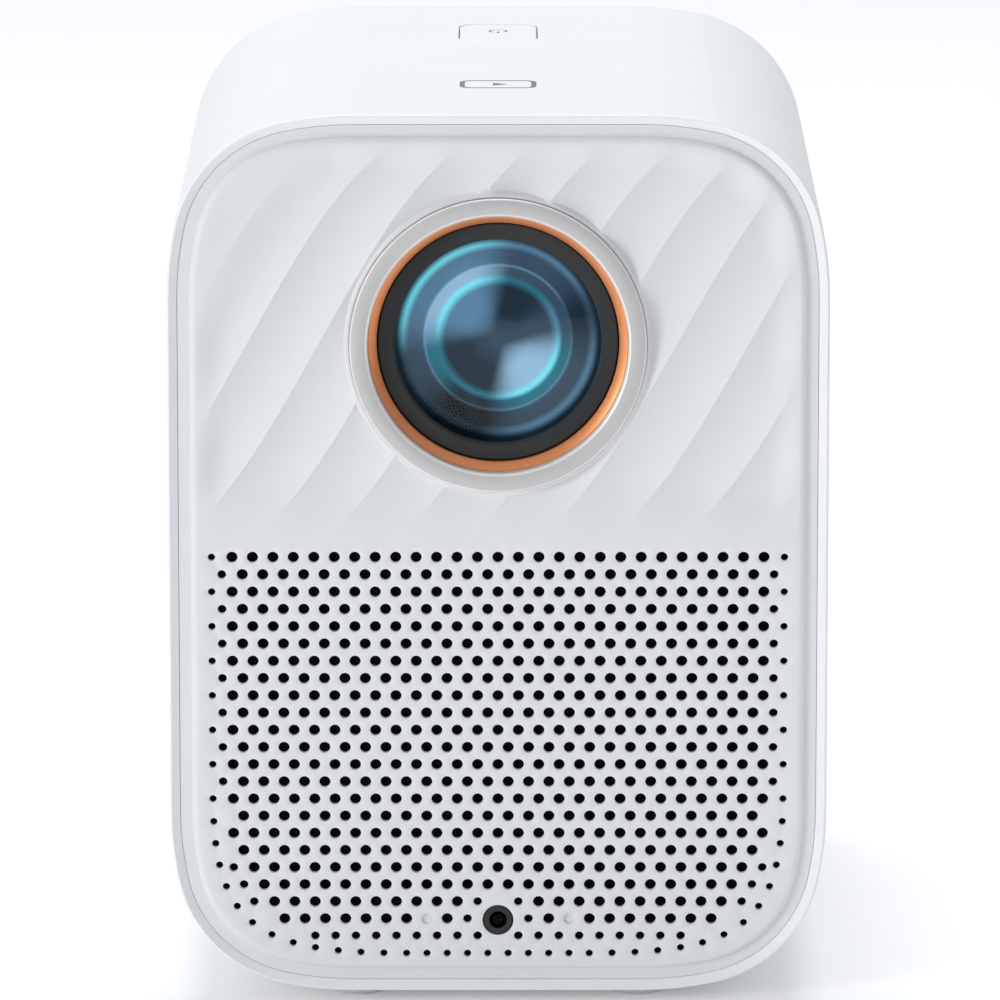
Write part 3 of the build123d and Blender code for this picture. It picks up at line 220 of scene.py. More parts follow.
# %% Plastics and rubber
finishes = {}
finishes["white_shell"] = grained(
    "white_abs_satin_moulded", "#eff0f1", "#edeff0", 0.48, 0.35, 0.0015, IOR=1.46)
finishes["face_grey"] = grained(
    "pale_grey_abs_satin_moulded", "#e3e4e5", "#e1e2e4", 0.55, 0.3, 0.0015, IOR=1.46)
finishes["dark_plastic"] = grained(
    "black_abs_fine_texture", "#1d1e20", "#222326", 0.6, 0.5, 0.012)
finishes["lens_black"] = grained(
    "glass_filled_nylon_matt_black", "#26282a", "#2b2d2f", 0.75, 0.35, 0.01)
finishes["rubber"] = grained(
    "silicone_rubber_moulded_grey", "#dfe0e2", "#d9dadc", 0.85, 0.6, 0.02)
finishes["gear_plastic"] = grained(
    "natural_acetal_moulded", "#ece7d8", "#e6e0cf", 0.35, 0.5, 0.004, Coat_Weight=0.1)
finishes["symbol_grey"] = grained(
    "pad_printed_ink_grey", "#7d7f83", "#77797d", 0.6, 0.2, 0.002)
finishes["paper"] = grained(
    "pressed_paper_black_fibrous", "#1b1a19", "#26241f", 0.95, 0.5, 0.06, stretch=(1, 1, 0.3))
finishes["magnet"] = grained(
    "sintered_ferrite_black", "#1c1c1e", "#262629", 0.55, 0.8, 0.03)
finishes["circuit"] = grained(
    "glass_epoxy_green_solder_mask", "#0e4a2c", "#136038", 0.3, 1.6, 0.03, Coat_Weight=0.4)
finishes["emitter"] = grained(
    "phosphor_in_silicone", "#f0d24a", "#f4dc6c", 0.35, 0.4, 0.01, Coat_Weight=0.6)
print("plastics", len(finishes))

# %% [markdown]
# Metals keep the shader's own index. The lens trim is bead blasted and clear anodised, so it is
# an even, flat grey, and its edges are cut bright with a diamond tool and painted whiter as a
# highlight. The accent ring is turned and dyed copper orange, with its fine grooves running round
# the lens axis. The anodised films are partly clear, so these three are set less than fully metallic.

# %% Metals
finishes["trim_metal"] = grained(
    "aluminium_bead_blasted_clear_anodised", "#cfcecd", "#cbcac9", 0.62, 0.18, 0.004, Metallic=0.8)
finishes["accent_metal"] = grained(
    "aluminium_turned_copper_anodised", "#ee9c68", "#e89563", 0.42, 0.2, 0.004,
    stretch=(0.2, 4, 0.2), Metallic=0.75)
# cut edges: real bright aluminium, drawn whiter and less metallic as a painted highlight
finishes["trim_bright"] = grained(
    "diamond_cut_aluminium_painted_highlight", "#f6f1ee", "#f2edea", 0.35, 0.12, 0.001,
    stretch=(0.3, 4, 0.3), Metallic=0.4)
finishes["steel"] = grained(
    "steel_zinc_plated", "#b8b9b6", "#a9abac", 0.32, 0.4, 0.006, Metallic=1.0)
finishes["aluminium"] = grained(
    "aluminium_extruded_plain", "#c6c8ca", "#bcbec0", 0.4, 0.25, 0.01,
    stretch=(1, 0.05, 1), Metallic=1.0)
finishes["mirror"] = grained(
    "float_glass_front_silvered", "#eceff1", "#e9edf0", 0.06, 2.0, 0.0002, Metallic=1.0)
finishes["brass"] = grained(
    "brass_turned_free_cutting", "#c9a45c", "#bd9850", 0.3, 0.3, 0.006,
    stretch=(1, 1, 4), Metallic=1.0)
print("metals done")

# %% [markdown]
# Glass and clear plastic let light through. A lens has no grain at all, only a trace of
# unevenness in its polish, and a thin coating that tints what it reflects. The real coating's
# layers are far below a thousandth of a millimetre, so only their tint is drawn.

# %% Glass and clear plastic
finishes["coated_glass"] = grained(
    "crown_glass_polished_coated", "#f2f8fc", "#eaf4fb", 0.02, 3.0, 0.0001,
    Transmission_Weight=1.0, IOR=1.22)
finishes["clear_glass"] = grained(
    "crown_glass_polished", "#f0f6f5", "#ecf4f3", 0.06, 3.0, 0.0001,
    Transmission_Weight=1.0, IOR=1.5)
finishes["clear_plastic"] = grained(
    "acrylic_sheet_fine_grooved", "#f3f4f4", "#eef0f0", 0.25, 0.5, 0.02,
    Transmission_Weight=0.9, IOR=1.49)
print("clear materials done")


# %% [markdown]
# The dust mesh behind the holes is black woven nylon. Its threads are about 0.1 mm apart, too
# fine to show, so two bands of waves at 0.5 mm stand for them.

# %% Woven dust mesh
def woven_mesh(name, colour, light, thread):
    material = bpy.data.materials.new(name)
    material.use_nodes = True
    tree = material.node_tree
    shader = tree.nodes["Principled BSDF"]
    coords = add_node(tree, "ShaderNodeTexCoord")
    weave = []
    for direction in ("X", "Z"):
        weave.append(add_node(tree, "ShaderNodeTexWave", {
            "Vector": coords.outputs["Object"], "Scale": math.pi / (10 * thread * MM),
        }, bands_direction=direction))
    both = add_node(tree, "ShaderNodeMath", {
        0: weave[0].outputs["Fac"], 1: weave[1].outputs["Fac"]}, operation="MULTIPLY")
    tone = add_node(tree, "ShaderNodeValToRGB", {"Fac": both.outputs["Value"]})
    tone.color_ramp.elements[0].color = linear(colour)
    tone.color_ramp.elements[1].color = linear(light)
    bump = add_node(tree, "ShaderNodeBump", {
        "Height": both.outputs["Value"], "Distance": 0.1 * MM})
    tree.links.new(tone.outputs["Color"], shader.inputs["Base Color"])
    tree.links.new(bump.outputs["Normal"], shader.inputs["Normal"])
    shader.inputs["Roughness"].default_value = 0.95
    shader.inputs["Specular IOR Level"].default_value = 0.1
    return material


finishes["dust_cloth"] = woven_mesh("nylon_mesh_black_woven", "#050505", "#0b0b0c", 0.5)
slots = {row["node"]: row["material_slot"] for row in frame["record"]["subparts"]}


def dress(piece, slot):
    """The finish of one material slot on a piece, in every slot that its mesh has."""
    if not piece.data.materials:
        piece.data.materials.append(finishes[slot])
    for place in piece.material_slots:
        place.material = finishes[slot]


for name, piece in nodes.items():
    dress(piece, slots[name])
print("dressed", len(nodes), "nodes in", len(finishes), "finishes")

# %% Floor finish
# Paper backdrop: matt, near white, with the faint tooth of uncoated stock. It gives off a little
# light of its own, so that it reads white in the shade of the lamps.
floor_paper = grained(
    "paper_backdrop_matt", "#fbfbfb", "#fafafb", 0.95, 2.0, 0.004, Emission_Strength=0.1)
floor.data.materials.append(floor_paper)

# %% [markdown]
# ## The face
# The face is one moulding: a flat flange at its edge, a quarter round up to the pillow, a field
# of through holes below and a relief of curved flutes above, which fades out towards the edge
# and the lens. In the frame it is a plain plate with its holes. A subdivided plane couldn't
# keep over six hundred round holes and the sharp crests together, so the mesh is laid out as a
# drawing: loops for the edge, holes and lens opening, rows of points along each flute, and a
# constrained triangulation between them. Height is then a function of place.


# %% The body's outline
END_R, MIDDLE_R, TURN = 60.0, 23.5, math.radians(12.0)
SPREAD = END_R - MIDDLE_R
REACH = END_R - SPREAD * (math.cos(TURN) - math.sin(TURN))
MIDDLE = END_R - SPREAD * math.cos(TURN)
HALF_X, HALF_Z = body_width / 2, body_height / 2
CORNER = (
    (HALF_X - END_R, HALF_Z - REACH, END_R, 0.0, TURN),
    (HALF_X - MIDDLE, HALF_Z - MIDDLE, MIDDLE_R, TURN, math.pi / 2 - TURN),
    (HALF_X - REACH, HALF_Z - END_R, END_R, math.pi / 2 - TURN, math.pi / 2),
)


def outline_loop(inset, step):
    """Points along the outline moved in by inset, about step apart, anticlockwise."""
    quarter = []
    for cx, cz, radius, start, end in CORNER:
        count = max(2, round((end - start) * radius / step))
        for index in range(count + 1):
            angle = start + (end - start) * index / count
            quarter.append((cx + (radius - inset) * math.cos(angle),
                            cz + (radius - inset) * math.sin(angle)))
    loop = []
    for side_x, side_z in ((1, 1), (-1, 1), (-1, -1), (1, -1)):
        points = [(side_x * x, side_z * z) for x, z in quarter]
        loop += points if side_x * side_z > 0 else points[::-1]
    dense = []
    for here, there in zip(loop, loop[1:] + loop[:1]):
        gap = math.dist(here, there)
        count = max(1, round(gap / (3 * step)))
        if gap > 1e-6:
            dense += [(here[0] + (there[0] - here[0]) * part / count,
                       here[1] + (there[1] - here[1]) * part / count) for part in range(count)]
    return [(x, z + middle_z) for x, z in dense]


def edge_distance(x, z):
    """How far in from the body's outline each point lies."""
    px, pz = np.abs(x), np.abs(z - middle_z)
    (x1, z1, r1, _, _), (x2, z2, r2, _, _), (x3, z3, r3, _, _) = CORNER
    angle = np.arctan2(pz - z2, px - x2)
    distance = np.minimum(HALF_X - px, HALF_Z - pz)
    distance = np.where((angle < TURN) & (pz > z1) & (px > x2), r1 - np.hypot(px - x1, pz - z1), distance)
    distance = np.where((angle > math.pi / 2 - TURN) & (px > x3) & (pz > z2),
                        r3 - np.hypot(px - x3, pz - z3), distance)
    middle = (angle >= TURN) & (angle <= math.pi / 2 - TURN)
    return np.where(middle, r2 - np.hypot(px - x2, pz - z2), distance)


print("outline points", len(outline_loop(2.0, 1.2)))

# %% [markdown]
# The holes follow one rule: a triangular grid 3.5 mm apart, smaller holes at its sides, a
# rounded lower corner drawn by one curve with evenly spaced small holes along it, and room left
# round the sensor window.

# %% Hole field
PITCH, ROW = 3.5, 3.5 * math.sqrt(3) / 2
LARGE_R, MEDIUM_R, SMALL_R = 0.975, 0.775, 0.65
GRID_TOP, STRAIGHT_ROWS, ROUNDED_ROWS, STEPS = 76.5, 15, 8, 13
SIDE_X, FOOT, CORNER_X = (STEPS + 1) * PITCH, 6.7, 15.75
WINDOW_RISE, WINDOW_R = 12.6, 2.67
DIMPLE_X, DIMPLE_ROW = 12.25, 21


def rim_curve(share):
    """A point of the rounded lower corner of the hole field."""
    side_z = GRID_TOP - (STRAIGHT_ROWS - 1) * ROW
    points = ((SIDE_X, side_z), (SIDE_X, side_z - 23.4), (CORNER_X + 24.7, FOOT), (CORNER_X, FOOT))
    rest = 1 - share
    weights = (rest**3, 3 * rest**2 * share, 3 * rest * share**2, share**3)
    return (sum(w * p[0] for w, p in zip(weights, points)),
            sum(w * p[1] for w, p in zip(weights, points)))


def rim_holes():
    samples = [rim_curve(index / 400) for index in range(401)]
    lengths = [0.0]
    for before, after in zip(samples, samples[1:]):
        lengths.append(lengths[-1] + math.dist(before, after))
    centres = []
    for step in range(1, 14):
        wanted = lengths[-1] * step / 13
        centres.append(samples[min(range(401), key=lambda item: abs(lengths[item] - wanted))])
    centres += [(CORNER_X - PITCH * step, FOOT) for step in range(1, 5)]
    return [(x, height) for x, height in centres if x > 0]


def grid_radius(row, x, height, rim):
    """The radius of the grid's hole at that place, or None where it has none."""
    if row < STRAIGHT_ROWS:
        if x > SIDE_X:
            return None
        edge = x > SIDE_X - PITCH * 0.75
        return (MEDIUM_R if row % 2 else SMALL_R) if edge else LARGE_R
    to_rim = min(math.dist((x, height), point) for point in rim)
    if x < CORNER_X:
        to_rim = min(to_rim, height - FOOT)
    inside = x < SIDE_X and any(x < px and height > pz for px, pz in rim)
    if not inside or to_rim < 2.0:
        return None
    return MEDIUM_R if to_rim < 3.2 else LARGE_R


def face_holes():
    """Every hole of the face as (x, z, radius)."""
    rim = [rim_curve(index / 60) for index in range(61)] + [(0.0, FOOT)]
    half = []
    for row in range(STRAIGHT_ROWS + ROUNDED_ROWS):
        height = GRID_TOP - row * ROW
        for step in range(STEPS + 2):
            x = (step + 0.5 * (row % 2)) * PITCH
            radius = grid_radius(row, x, height, rim)
            to_window = math.dist((x, height), (0.0, WINDOW_RISE))
            dimple = row == DIMPLE_ROW and abs(x - DIMPLE_X) < 0.1
            if radius is None or to_window < 4.0 or dimple:
                continue
            half.append((x, height, MEDIUM_R if to_window < 6.0 else radius))
    half += [(x, height, SMALL_R) for x, height in rim_holes()]
    sides = [(side * x, z, r) for x, z, r in half for side in ((1, -1) if x > 0.01 else (1,))]
    return [(x, foot_z + z, r) for x, z, r in sides]


holes = face_holes()
print("holes", len(holes))

# %% [markdown]
# The flutes are all one crest curve, moved sideways by 12.21 mm. Between two crests the surface
# is a shallow parabola, so its light runs evenly from dark to bright and then falls back at the
# next sharp crest. The depth fades to nothing towards the edge, the lens and the hole field.

# %% Relief of the face
FLUTE_PITCH, FLUTE_DEPTH = 12.21, 1.55
FLANGE_EDGE, PILLOW_EDGE, PILLOW_ROUND = 1.88, 3.9, 1.2
LENS_OPENING, RING_SEAT, RING_SEAT_DEPTH = 24.0, 25.43, 0.5
EDGE_SOFT = 0.1


def crest_x(height):
    """Where the middle crest crosses a height above the body's foot."""
    rise = height - 113.51
    return -30.6 + 21.504 * rise / 40 + 0.1647 * np.sinh(np.clip(rise, -40, 40) / 7.958)


def smooth(value, low, high):
    share = np.clip((value - low) / (high - low), 0.0, 1.0)
    return share * share * (3 - 2 * share)


def flute_strength(x, z):
    """One where the flutes are full, zero where the face is flat."""
    height, inset = z - foot_z, edge_distance(x, z)
    corner = np.clip((-x - 28) / 10, 0, 1) * np.clip((height - 115) / 15, 0, 1)
    side = smooth(inset, 4.5, 10.0 + 9 * corner)
    right = np.clip(x / 40, 0, 1)
    foot = smooth(height, 78.5 + 1.5 * right, 92 - 4 * right)
    return side * foot * smooth(np.hypot(x, z - lens_z), 25.8, 26.3)


def face_height(x, z):
    """The face's Y at each point: flange, quarter round, pillow, flutes and the ring's seat."""
    inset = edge_distance(x, z)
    across = np.clip(PILLOW_EDGE + PILLOW_ROUND - inset, 0, PILLOW_ROUND)
    rise = np.sqrt(np.maximum(PILLOW_ROUND**2 - across**2, 0))
    share = ((x - crest_x(z - foot_z)) / FLUTE_PITCH) % 1.0
    flute = FLUTE_DEPTH * 4 * share * (1 - share) * flute_strength(x, z)
    seat = np.where(np.hypot(x, z - lens_z) < RING_SEAT + 0.01, RING_SEAT_DEPTH, 0.0)
    return np.where(inset < PILLOW_EDGE - 0.001, face_y + PILLOW_ROUND,
                    face_y + PILLOW_ROUND - rise + flute + seat)


# %% Laying out the drawing of the face
class Drawing:
    """Points, fixed edges and closed loops, ready to be triangulated."""

    def __init__(self):
        self.points, self.marks, self.edges = [], [], []

    def scatter(self, points, mark="field"):
        self.points += points
        self.marks += [mark] * len(points)

    def line(self, points, mark="field", closed=False):
        first = len(self.points)
        self.scatter(points, mark)
        last = len(self.points) - 1
        self.edges += [(index, index + 1) for index in range(first, last)]
        if closed:
            self.edges.append((last, first))

    def triangles(self):
        """Output points, their marks, and the triangles that don't fill an opening."""
        points, _, faces, origins, _, _ = delaunay_2d_cdt(
            [Vector(point) for point in self.points], self.edges, [], 0, 1e-5, True)
        marks = [self.marks[source[0]] if source else "field" for source in origins]
        kept = []
        for face in faces:
            names = {marks[index] for index in face}
            if not (len(names) == 1 and next(iter(names)).startswith("open")):
                kept.append(tuple(face))
        return np.array([tuple(point) for point in points]), marks, kept


def circle(x, z, radius, count, turn=0.0):
    angles = [turn + 2 * math.pi * index / count for index in range(count)]
    return [(x + radius * math.cos(a), z + radius * math.sin(a)) for a in angles]


# %% Front side of the face
def hole_sides(radius):
    """How many sides draw a hole of that radius."""
    return 16 if radius > 0.9 else 12


def flute_lines(drawing):
    """Rows of points along each flute, with its crest as a fixed line."""
    shares = (0.0, 0.03, 0.1, 0.25, 0.42, 0.58, 0.75, 0.9, 0.97)
    levels = np.arange(78.4, 150.0, 0.9)
    for number in range(-6, 9):
        for share in shares:
            x = crest_x(levels) + FLUTE_PITCH * (number + share)
            z = levels + foot_z
            keep = (edge_distance(x, z) > PILLOW_EDGE + PILLOW_ROUND + 0.25)
            keep &= np.hypot(x, z - lens_z) > 26.4
            run = []
            for px, pz, good in zip(x, z, keep):
                if good:
                    run.append((float(px), float(pz)))
                    continue
                if run:
                    drawing.line(run) if share == 0.0 else drawing.scatter(run)
                run = []
            if run:
                drawing.line(run) if share == 0.0 else drawing.scatter(run)


def front_drawing():
    drawing = Drawing()
    drawing.line(outline_loop(FLANGE_EDGE, 1.2), "edge", closed=True)
    for angle in (0, 12, 26, 42, 58, 74, 90):
        inset = PILLOW_EDGE + PILLOW_ROUND * (1 - math.cos(math.radians(angle)))
        drawing.line(outline_loop(inset, 1.2), closed=True)
    drawing.line(outline_loop(PILLOW_EDGE - 0.02, 1.2), "flange", closed=True)
    drawing.line(circle(0, lens_z, LENS_OPENING, 128), "open_lens", closed=True)
    drawing.line(circle(0, lens_z, RING_SEAT, 128), "seat", closed=True)
    for radius in (RING_SEAT + 0.03, 25.8, 25.95, 26.1, 26.3):
        drawing.line(circle(0, lens_z, radius, 128), closed=True)
    window_z = foot_z + WINDOW_RISE
    drawing.line(circle(0, window_z, WINDOW_R + EDGE_SOFT, 40), closed=True)
    drawing.line(circle(0, window_z, WINDOW_R, 40), "open_window", closed=True)
    for number, (x, z, radius) in enumerate(holes):
        sides = hole_sides(radius)
        drawing.line(circle(x, z, radius + EDGE_SOFT, sides), closed=True)
        drawing.line(circle(x, z, radius, sides), f"open_{number}", closed=True)
    dimple_z = foot_z + GRID_TOP - DIMPLE_ROW * ROW
    for side in (-1, 1):
        drawing.line(circle(side * DIMPLE_X, dimple_z, LARGE_R + EDGE_SOFT, 16), closed=True)
        drawing.line(circle(side * DIMPLE_X, dimple_z, LARGE_R, 16), "rim_dimple", closed=True)
        drawing.line(circle(side * DIMPLE_X, dimple_z, LARGE_R - 0.02, 16), "dimple", closed=True)
    flute_lines(drawing)
    return drawing


def front_side():
    """Vertices and triangles of the face seen from the front."""
    flat, marks, triangles = front_drawing().triangles()
    y = face_height(flat[:, 0], flat[:, 1])
    marks = np.array(marks)
    sunk = np.char.startswith(marks, "open_") & (marks != "open_lens")
    y = np.where(sunk | (marks == "rim_dimple"), face_y + EDGE_SOFT * 0.6, y)
    y = np.where(marks == "dimple", face_y + 0.5, y)
    y = np.where(marks == "flange", face_y + PILLOW_ROUND, y)
    return np.stack([flat[:, 0], y, flat[:, 1]], axis=1), triangles


front_points, front_triangles = front_side()
print("front", len(front_points), "points", len(front_triangles), "triangles")

# %% [markdown]
# The back of the moulding is plain: a thick rim, a thinner wall behind the flutes and a thin
# wall behind the hole field, where the black mesh lies straight against it. Each hole's wall
# joins the two sides, so the piece is closed.

# %% Back side and walls of the face
RIM_WALL, FLUTE_WALL, GRILLE_WALL, RIM_INSET = 3.4, 2.2, 1.0, 6.0
GRILLE_LEVEL = foot_z + GRID_TOP + LARGE_R + 2.0


def back_height(x, z):
    """The Y of the moulding's back: the thick rim, then the wall of the flutes or the grille."""
    inner = np.where(z < GRILLE_LEVEL, face_y + GRILLE_WALL, face_y + FLUTE_WALL)
    return np.where(edge_distance(x, z) < RIM_INSET + 0.01, face_y + RIM_WALL, inner)


def opening_loops():
    """Each through opening once, as the loop that both sides share."""
    loops = [circle(x, z, radius, hole_sides(radius)) for x, z, radius in holes]
    loops.append(circle(0, foot_z + WINDOW_RISE, WINDOW_R, 40))
    loops.append(circle(0, lens_z, LENS_OPENING, 128))
    return loops


def back_side():
    drawing = Drawing()
    drawing.line(outline_loop(FLANGE_EDGE, 1.2), "edge", closed=True)
    for inset in (RIM_INSET, RIM_INSET + 0.05):
        drawing.line(outline_loop(inset, 1.2), closed=True)
    for level in (GRILLE_LEVEL - 0.03, GRILLE_LEVEL + 0.03):
        drawing.line([(x, level) for x in np.arange(-50.0, 50.1, 2.0)])
    for number, loop in enumerate(opening_loops()):
        drawing.line(loop, f"open_{number}", closed=True)
    flat, _, triangles = drawing.triangles()
    y = back_height(flat[:, 0], flat[:, 1])
    return np.stack([flat[:, 0], y, flat[:, 1]], axis=1), [face[::-1] for face in triangles]


def walls(loops):
    """Quads that join each loop's front to its back."""
    points, quads = [], []
    for loop in loops:
        ring = np.array(loop)
        front = face_height(ring[:, 0], ring[:, 1])
        through = np.hypot(ring[0, 0], ring[0, 1] - lens_z) < LENS_OPENING + 0.1
        inside = edge_distance(ring[:1, 0], ring[:1, 1])[0] > PILLOW_EDGE
        if inside and not through:
            front = np.full(len(ring), face_y + EDGE_SOFT * 0.6)
        back = back_height(ring[:, 0], ring[:, 1])
        base, count = len(points), len(ring)
        points += [(x, y, z) for (x, z), y in zip(loop, front)]
        points += [(x, y, z) for (x, z), y in zip(loop, back)]
        for index in range(count):
            after = (index + 1) % count
            quads.append((base + index, base + after, base + count + after, base + count + index))
    return np.array(points), quads


back_points, back_triangles = back_side()
wall_points, wall_quads = walls(opening_loops() + [outline_loop(FLANGE_EDGE, 1.2)])
print("back", len(back_triangles), "walls", len(wall_quads))


# %% Joining the face
def mesh_piece(name, parts, slot, body, smooth_angle):
    """One object from several sets of points in millimetres and faces, merged where they meet."""
    points, faces = [], []
    for part_points, part_faces in parts:
        faces += [tuple(index + len(points) for index in face) for face in part_faces]
        points += [tuple(point) for point in part_points]
    mesh = bpy.data.meshes.new(name)
    mesh.from_pydata([(x * MM, y * MM, z * MM) for x, y, z in points], [], faces)
    piece = bpy.data.objects.new(name, mesh)
    bpy.context.scene.collection.objects.link(piece)
    bpy.ops.object.select_all(action="DESELECT")
    bpy.context.view_layer.objects.active = piece
    piece.select_set(True)
    bpy.ops.object.mode_set(mode="EDIT")
    bpy.ops.mesh.select_all(action="SELECT")
    bpy.ops.mesh.remove_doubles(threshold=2e-6)
    bpy.ops.mesh.normals_make_consistent(inside=False)
    bpy.ops.object.mode_set(mode="OBJECT")
    bpy.ops.object.shade_smooth_by_angle(angle=math.radians(smooth_angle))
    dress(piece, slot)
    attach(piece, body)
    return piece


face = mesh_piece(
    "moulded_face",
    [(front_points, front_triangles), (back_points, back_triangles), (wall_points, wall_quads)],
    "face_grey", "housing", 32)
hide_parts("front_panel")
print("face triangles", sum(len(p.vertices) - 2 for p in face.data.polygons))

# %% [markdown]
# ## Lens
# What shows in a projector's lens is mostly reflection: each coated surface behind the front
# glass returns a ring of light, brightest on the side of the window or lamp. Traced light
# through five real lenses needs thousands of samples, so the front glass is a thin dome, and
# the coated group behind it is a turned bowl with those reflections painted into its colour,
# by distance from the axis and by the side that it faces, and made to glow a little.

# %% Turned pieces
lens_axis = Vector((0.0, 0.0, lens_z * MM))


def spun(name, profile, slot, body, smooth_angle=30, steps=128):
    """A closed (radius, y) profile in millimetres, turned about the lens axis."""
    points, faces = [], []
    for step in range(steps):
        angle = 2 * math.pi * step / steps
        points += [(radius * math.cos(angle), y, lens_z + radius * math.sin(angle))
                   for radius, y in profile]
    count = len(profile)
    for step in range(steps):
        here, there = step * count, ((step + 1) % steps) * count
        for index in range(count):
            after = (index + 1) % count
            faces.append((here + index, here + after, there + after, there + index))
    return mesh_piece(name, [(points, faces)], slot, body, smooth_angle)


def dome(clear_r, edge_y, sag, count):
    """Points of a shallow dome from its rim to its pole."""
    sphere = (clear_r**2 + sag**2) / (2 * sag)
    radii = [clear_r * (1 - index / count) for index in range(count + 1)]
    drop = [math.sqrt(sphere**2 - radius**2) - (sphere - sag) for radius in radii]
    return [(max(radius, 0.0), edge_y - fall) for radius, fall in zip(radii, drop)]


# %% [markdown]
# The trim ring is a flat bezel with a bright cut edge inside and out, painted whiter as a
# highlight. The copper cone narrows behind it towards the barrel. Both are plain turned parts, so
# a spun profile gives their shape, and small bevels catch the light as real turned edges do.

# %% Lens trim and cone
BEZEL_OUTER, BEZEL_BORE, SPIGOT_R = 25.35, 22.2, 23.9
BEZEL_INNER_FACE, BEZEL_OUTER_FACE = 22.67, 25.08
CONE_MOUTH, CONE_THROAT, CONE_OUTER = 22.12, 20.7, 22.15
CONE_MOUTH_DEPTH, CONE_THROAT_DEPTH = 2.3, 3.44


def shine(piece, chosen):
    """The bright cut finish, with a painted highlight, on the faces that chosen picks by distance from
    the axis and y.
    """
    piece.data.materials.append(finishes["trim_bright"])
    for polygon in piece.data.polygons:
        away = math.hypot(polygon.center.x, polygon.center.z - lens_axis.z) / MM
        if chosen(away, polygon.center.y / MM):
            polygon.material_index = 1


trim_y = box_mm("lens_trim_ring")[0].y
trim_back = box_mm("lens_trim_ring")[1].y
trim = spun("lens_trim_bezel", [
    (BEZEL_INNER_FACE, trim_y), (BEZEL_OUTER_FACE, trim_y), (25.12, trim_y + 0.02),
    (25.33, trim_y + 0.23), (BEZEL_OUTER, trim_y + 0.27), (BEZEL_OUTER, face_y + 0.3),
    (SPIGOT_R, face_y + 0.3), (SPIGOT_R, trim_back), (BEZEL_BORE, trim_back),
    (BEZEL_BORE, trim_y + 0.48), (22.22, trim_y + 0.43), (22.6, trim_y + 0.03),
], "trim_metal", "housing", 35, 192)
# the cut edges take the bright finish, which also paints their highlight
shine(trim, lambda away, y: (away < 22.66 and y < trim_y + 3) or (away > 25.1 and y < trim_y + 0.25))
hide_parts("lens_trim_ring")
accent = spun("lens_accent_cone", [
    (CONE_MOUTH, trim_y + CONE_MOUTH_DEPTH), (CONE_OUTER, trim_y + 2.33), (CONE_OUTER, trim_back),
    (CONE_THROAT, trim_back), (CONE_THROAT, trim_y + CONE_THROAT_DEPTH),
    (20.73, trim_y + 3.38), (22.08, trim_y + 2.32),
], "accent_metal", "housing", 35, 192)
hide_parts("lens_accent_ring")
print("bezel", len(trim.data.polygons), "accent", len(accent.data.polygons))

# %% Front glass
GLASS_R, GLASS_SAG, GLASS_THICK = 17.6, 3.4, 1.2
outer = dome(GLASS_R, barrel_y, GLASS_SAG, 18)
inner = [(radius, y + GLASS_THICK) for radius, y in outer][::-1]
glass = spun("front_glass_dome", outer + inner, "coated_glass", "focus_barrel")
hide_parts("front_lens")
print("front glass", len(glass.data.polygons), "faces")

# %% Coated group behind the glass
bowl_profile = [
    (GLASS_R, barrel_y + 1.3), (16.9, barrel_y + 1.8), (16.2, barrel_y + 2.2),
    (15.6, barrel_y + 2.3), (12.7, barrel_y + 2.35), (12.3, barrel_y + 2.35),
    (11.0, barrel_y + 2.4), (10.3, barrel_y + 2.4), (9.6, barrel_y + 2.2),
    (7.5, barrel_y + 1.6), (5.0, barrel_y + 1.1), (2.5, barrel_y + 0.85), (0.0, barrel_y + 0.8),
    (0.0, barrel_y + 2.9), (GLASS_R, barrel_y + 2.9),
]
bowl = spun("coated_lens_group", bowl_profile, "coated_glass", "focus_barrel", 60)
print("coated group", len(bowl.data.polygons), "faces")


# %% [markdown]
# The reflections are painted with colour ramps along the radius. The first ramp is painted
# shade, the side in shadow; the others are painted reflections of the window, the table and the
# room, each laid over the ones before it by a soft fan of the angle round the axis.

# %% Painted reflections and shade of the coating, by radius and side
def fill_ramp(ramp, stops):
    """Colour stops given as (radius in mm, hex colour)."""
    elements = ramp.color_ramp.elements
    while len(elements) < len(stops):
        elements.new(1.0)
    for element, (radius, colour) in zip(elements, stops):
        element.position = radius / GLASS_R
        element.color = linear(colour)


def lobe(tree, x, z, angle, low, high):
    """A soft fan, one towards the angle, in degrees; it closes near the axis."""
    turn = math.radians(angle)
    along = add_node(tree, "ShaderNodeMath", {0: x, 1: math.cos(turn)}, operation="MULTIPLY")
    up = add_node(tree, "ShaderNodeMath", {
        0: z, 1: math.sin(turn), 2: along.outputs["Value"]}, operation="MULTIPLY_ADD")
    fan = add_node(tree, "ShaderNodeMapRange", {
        "Value": up.outputs["Value"], "From Min": low, "From Max": high,
    }, interpolation_type="SMOOTHSTEP")
    return fan.outputs["Result"]


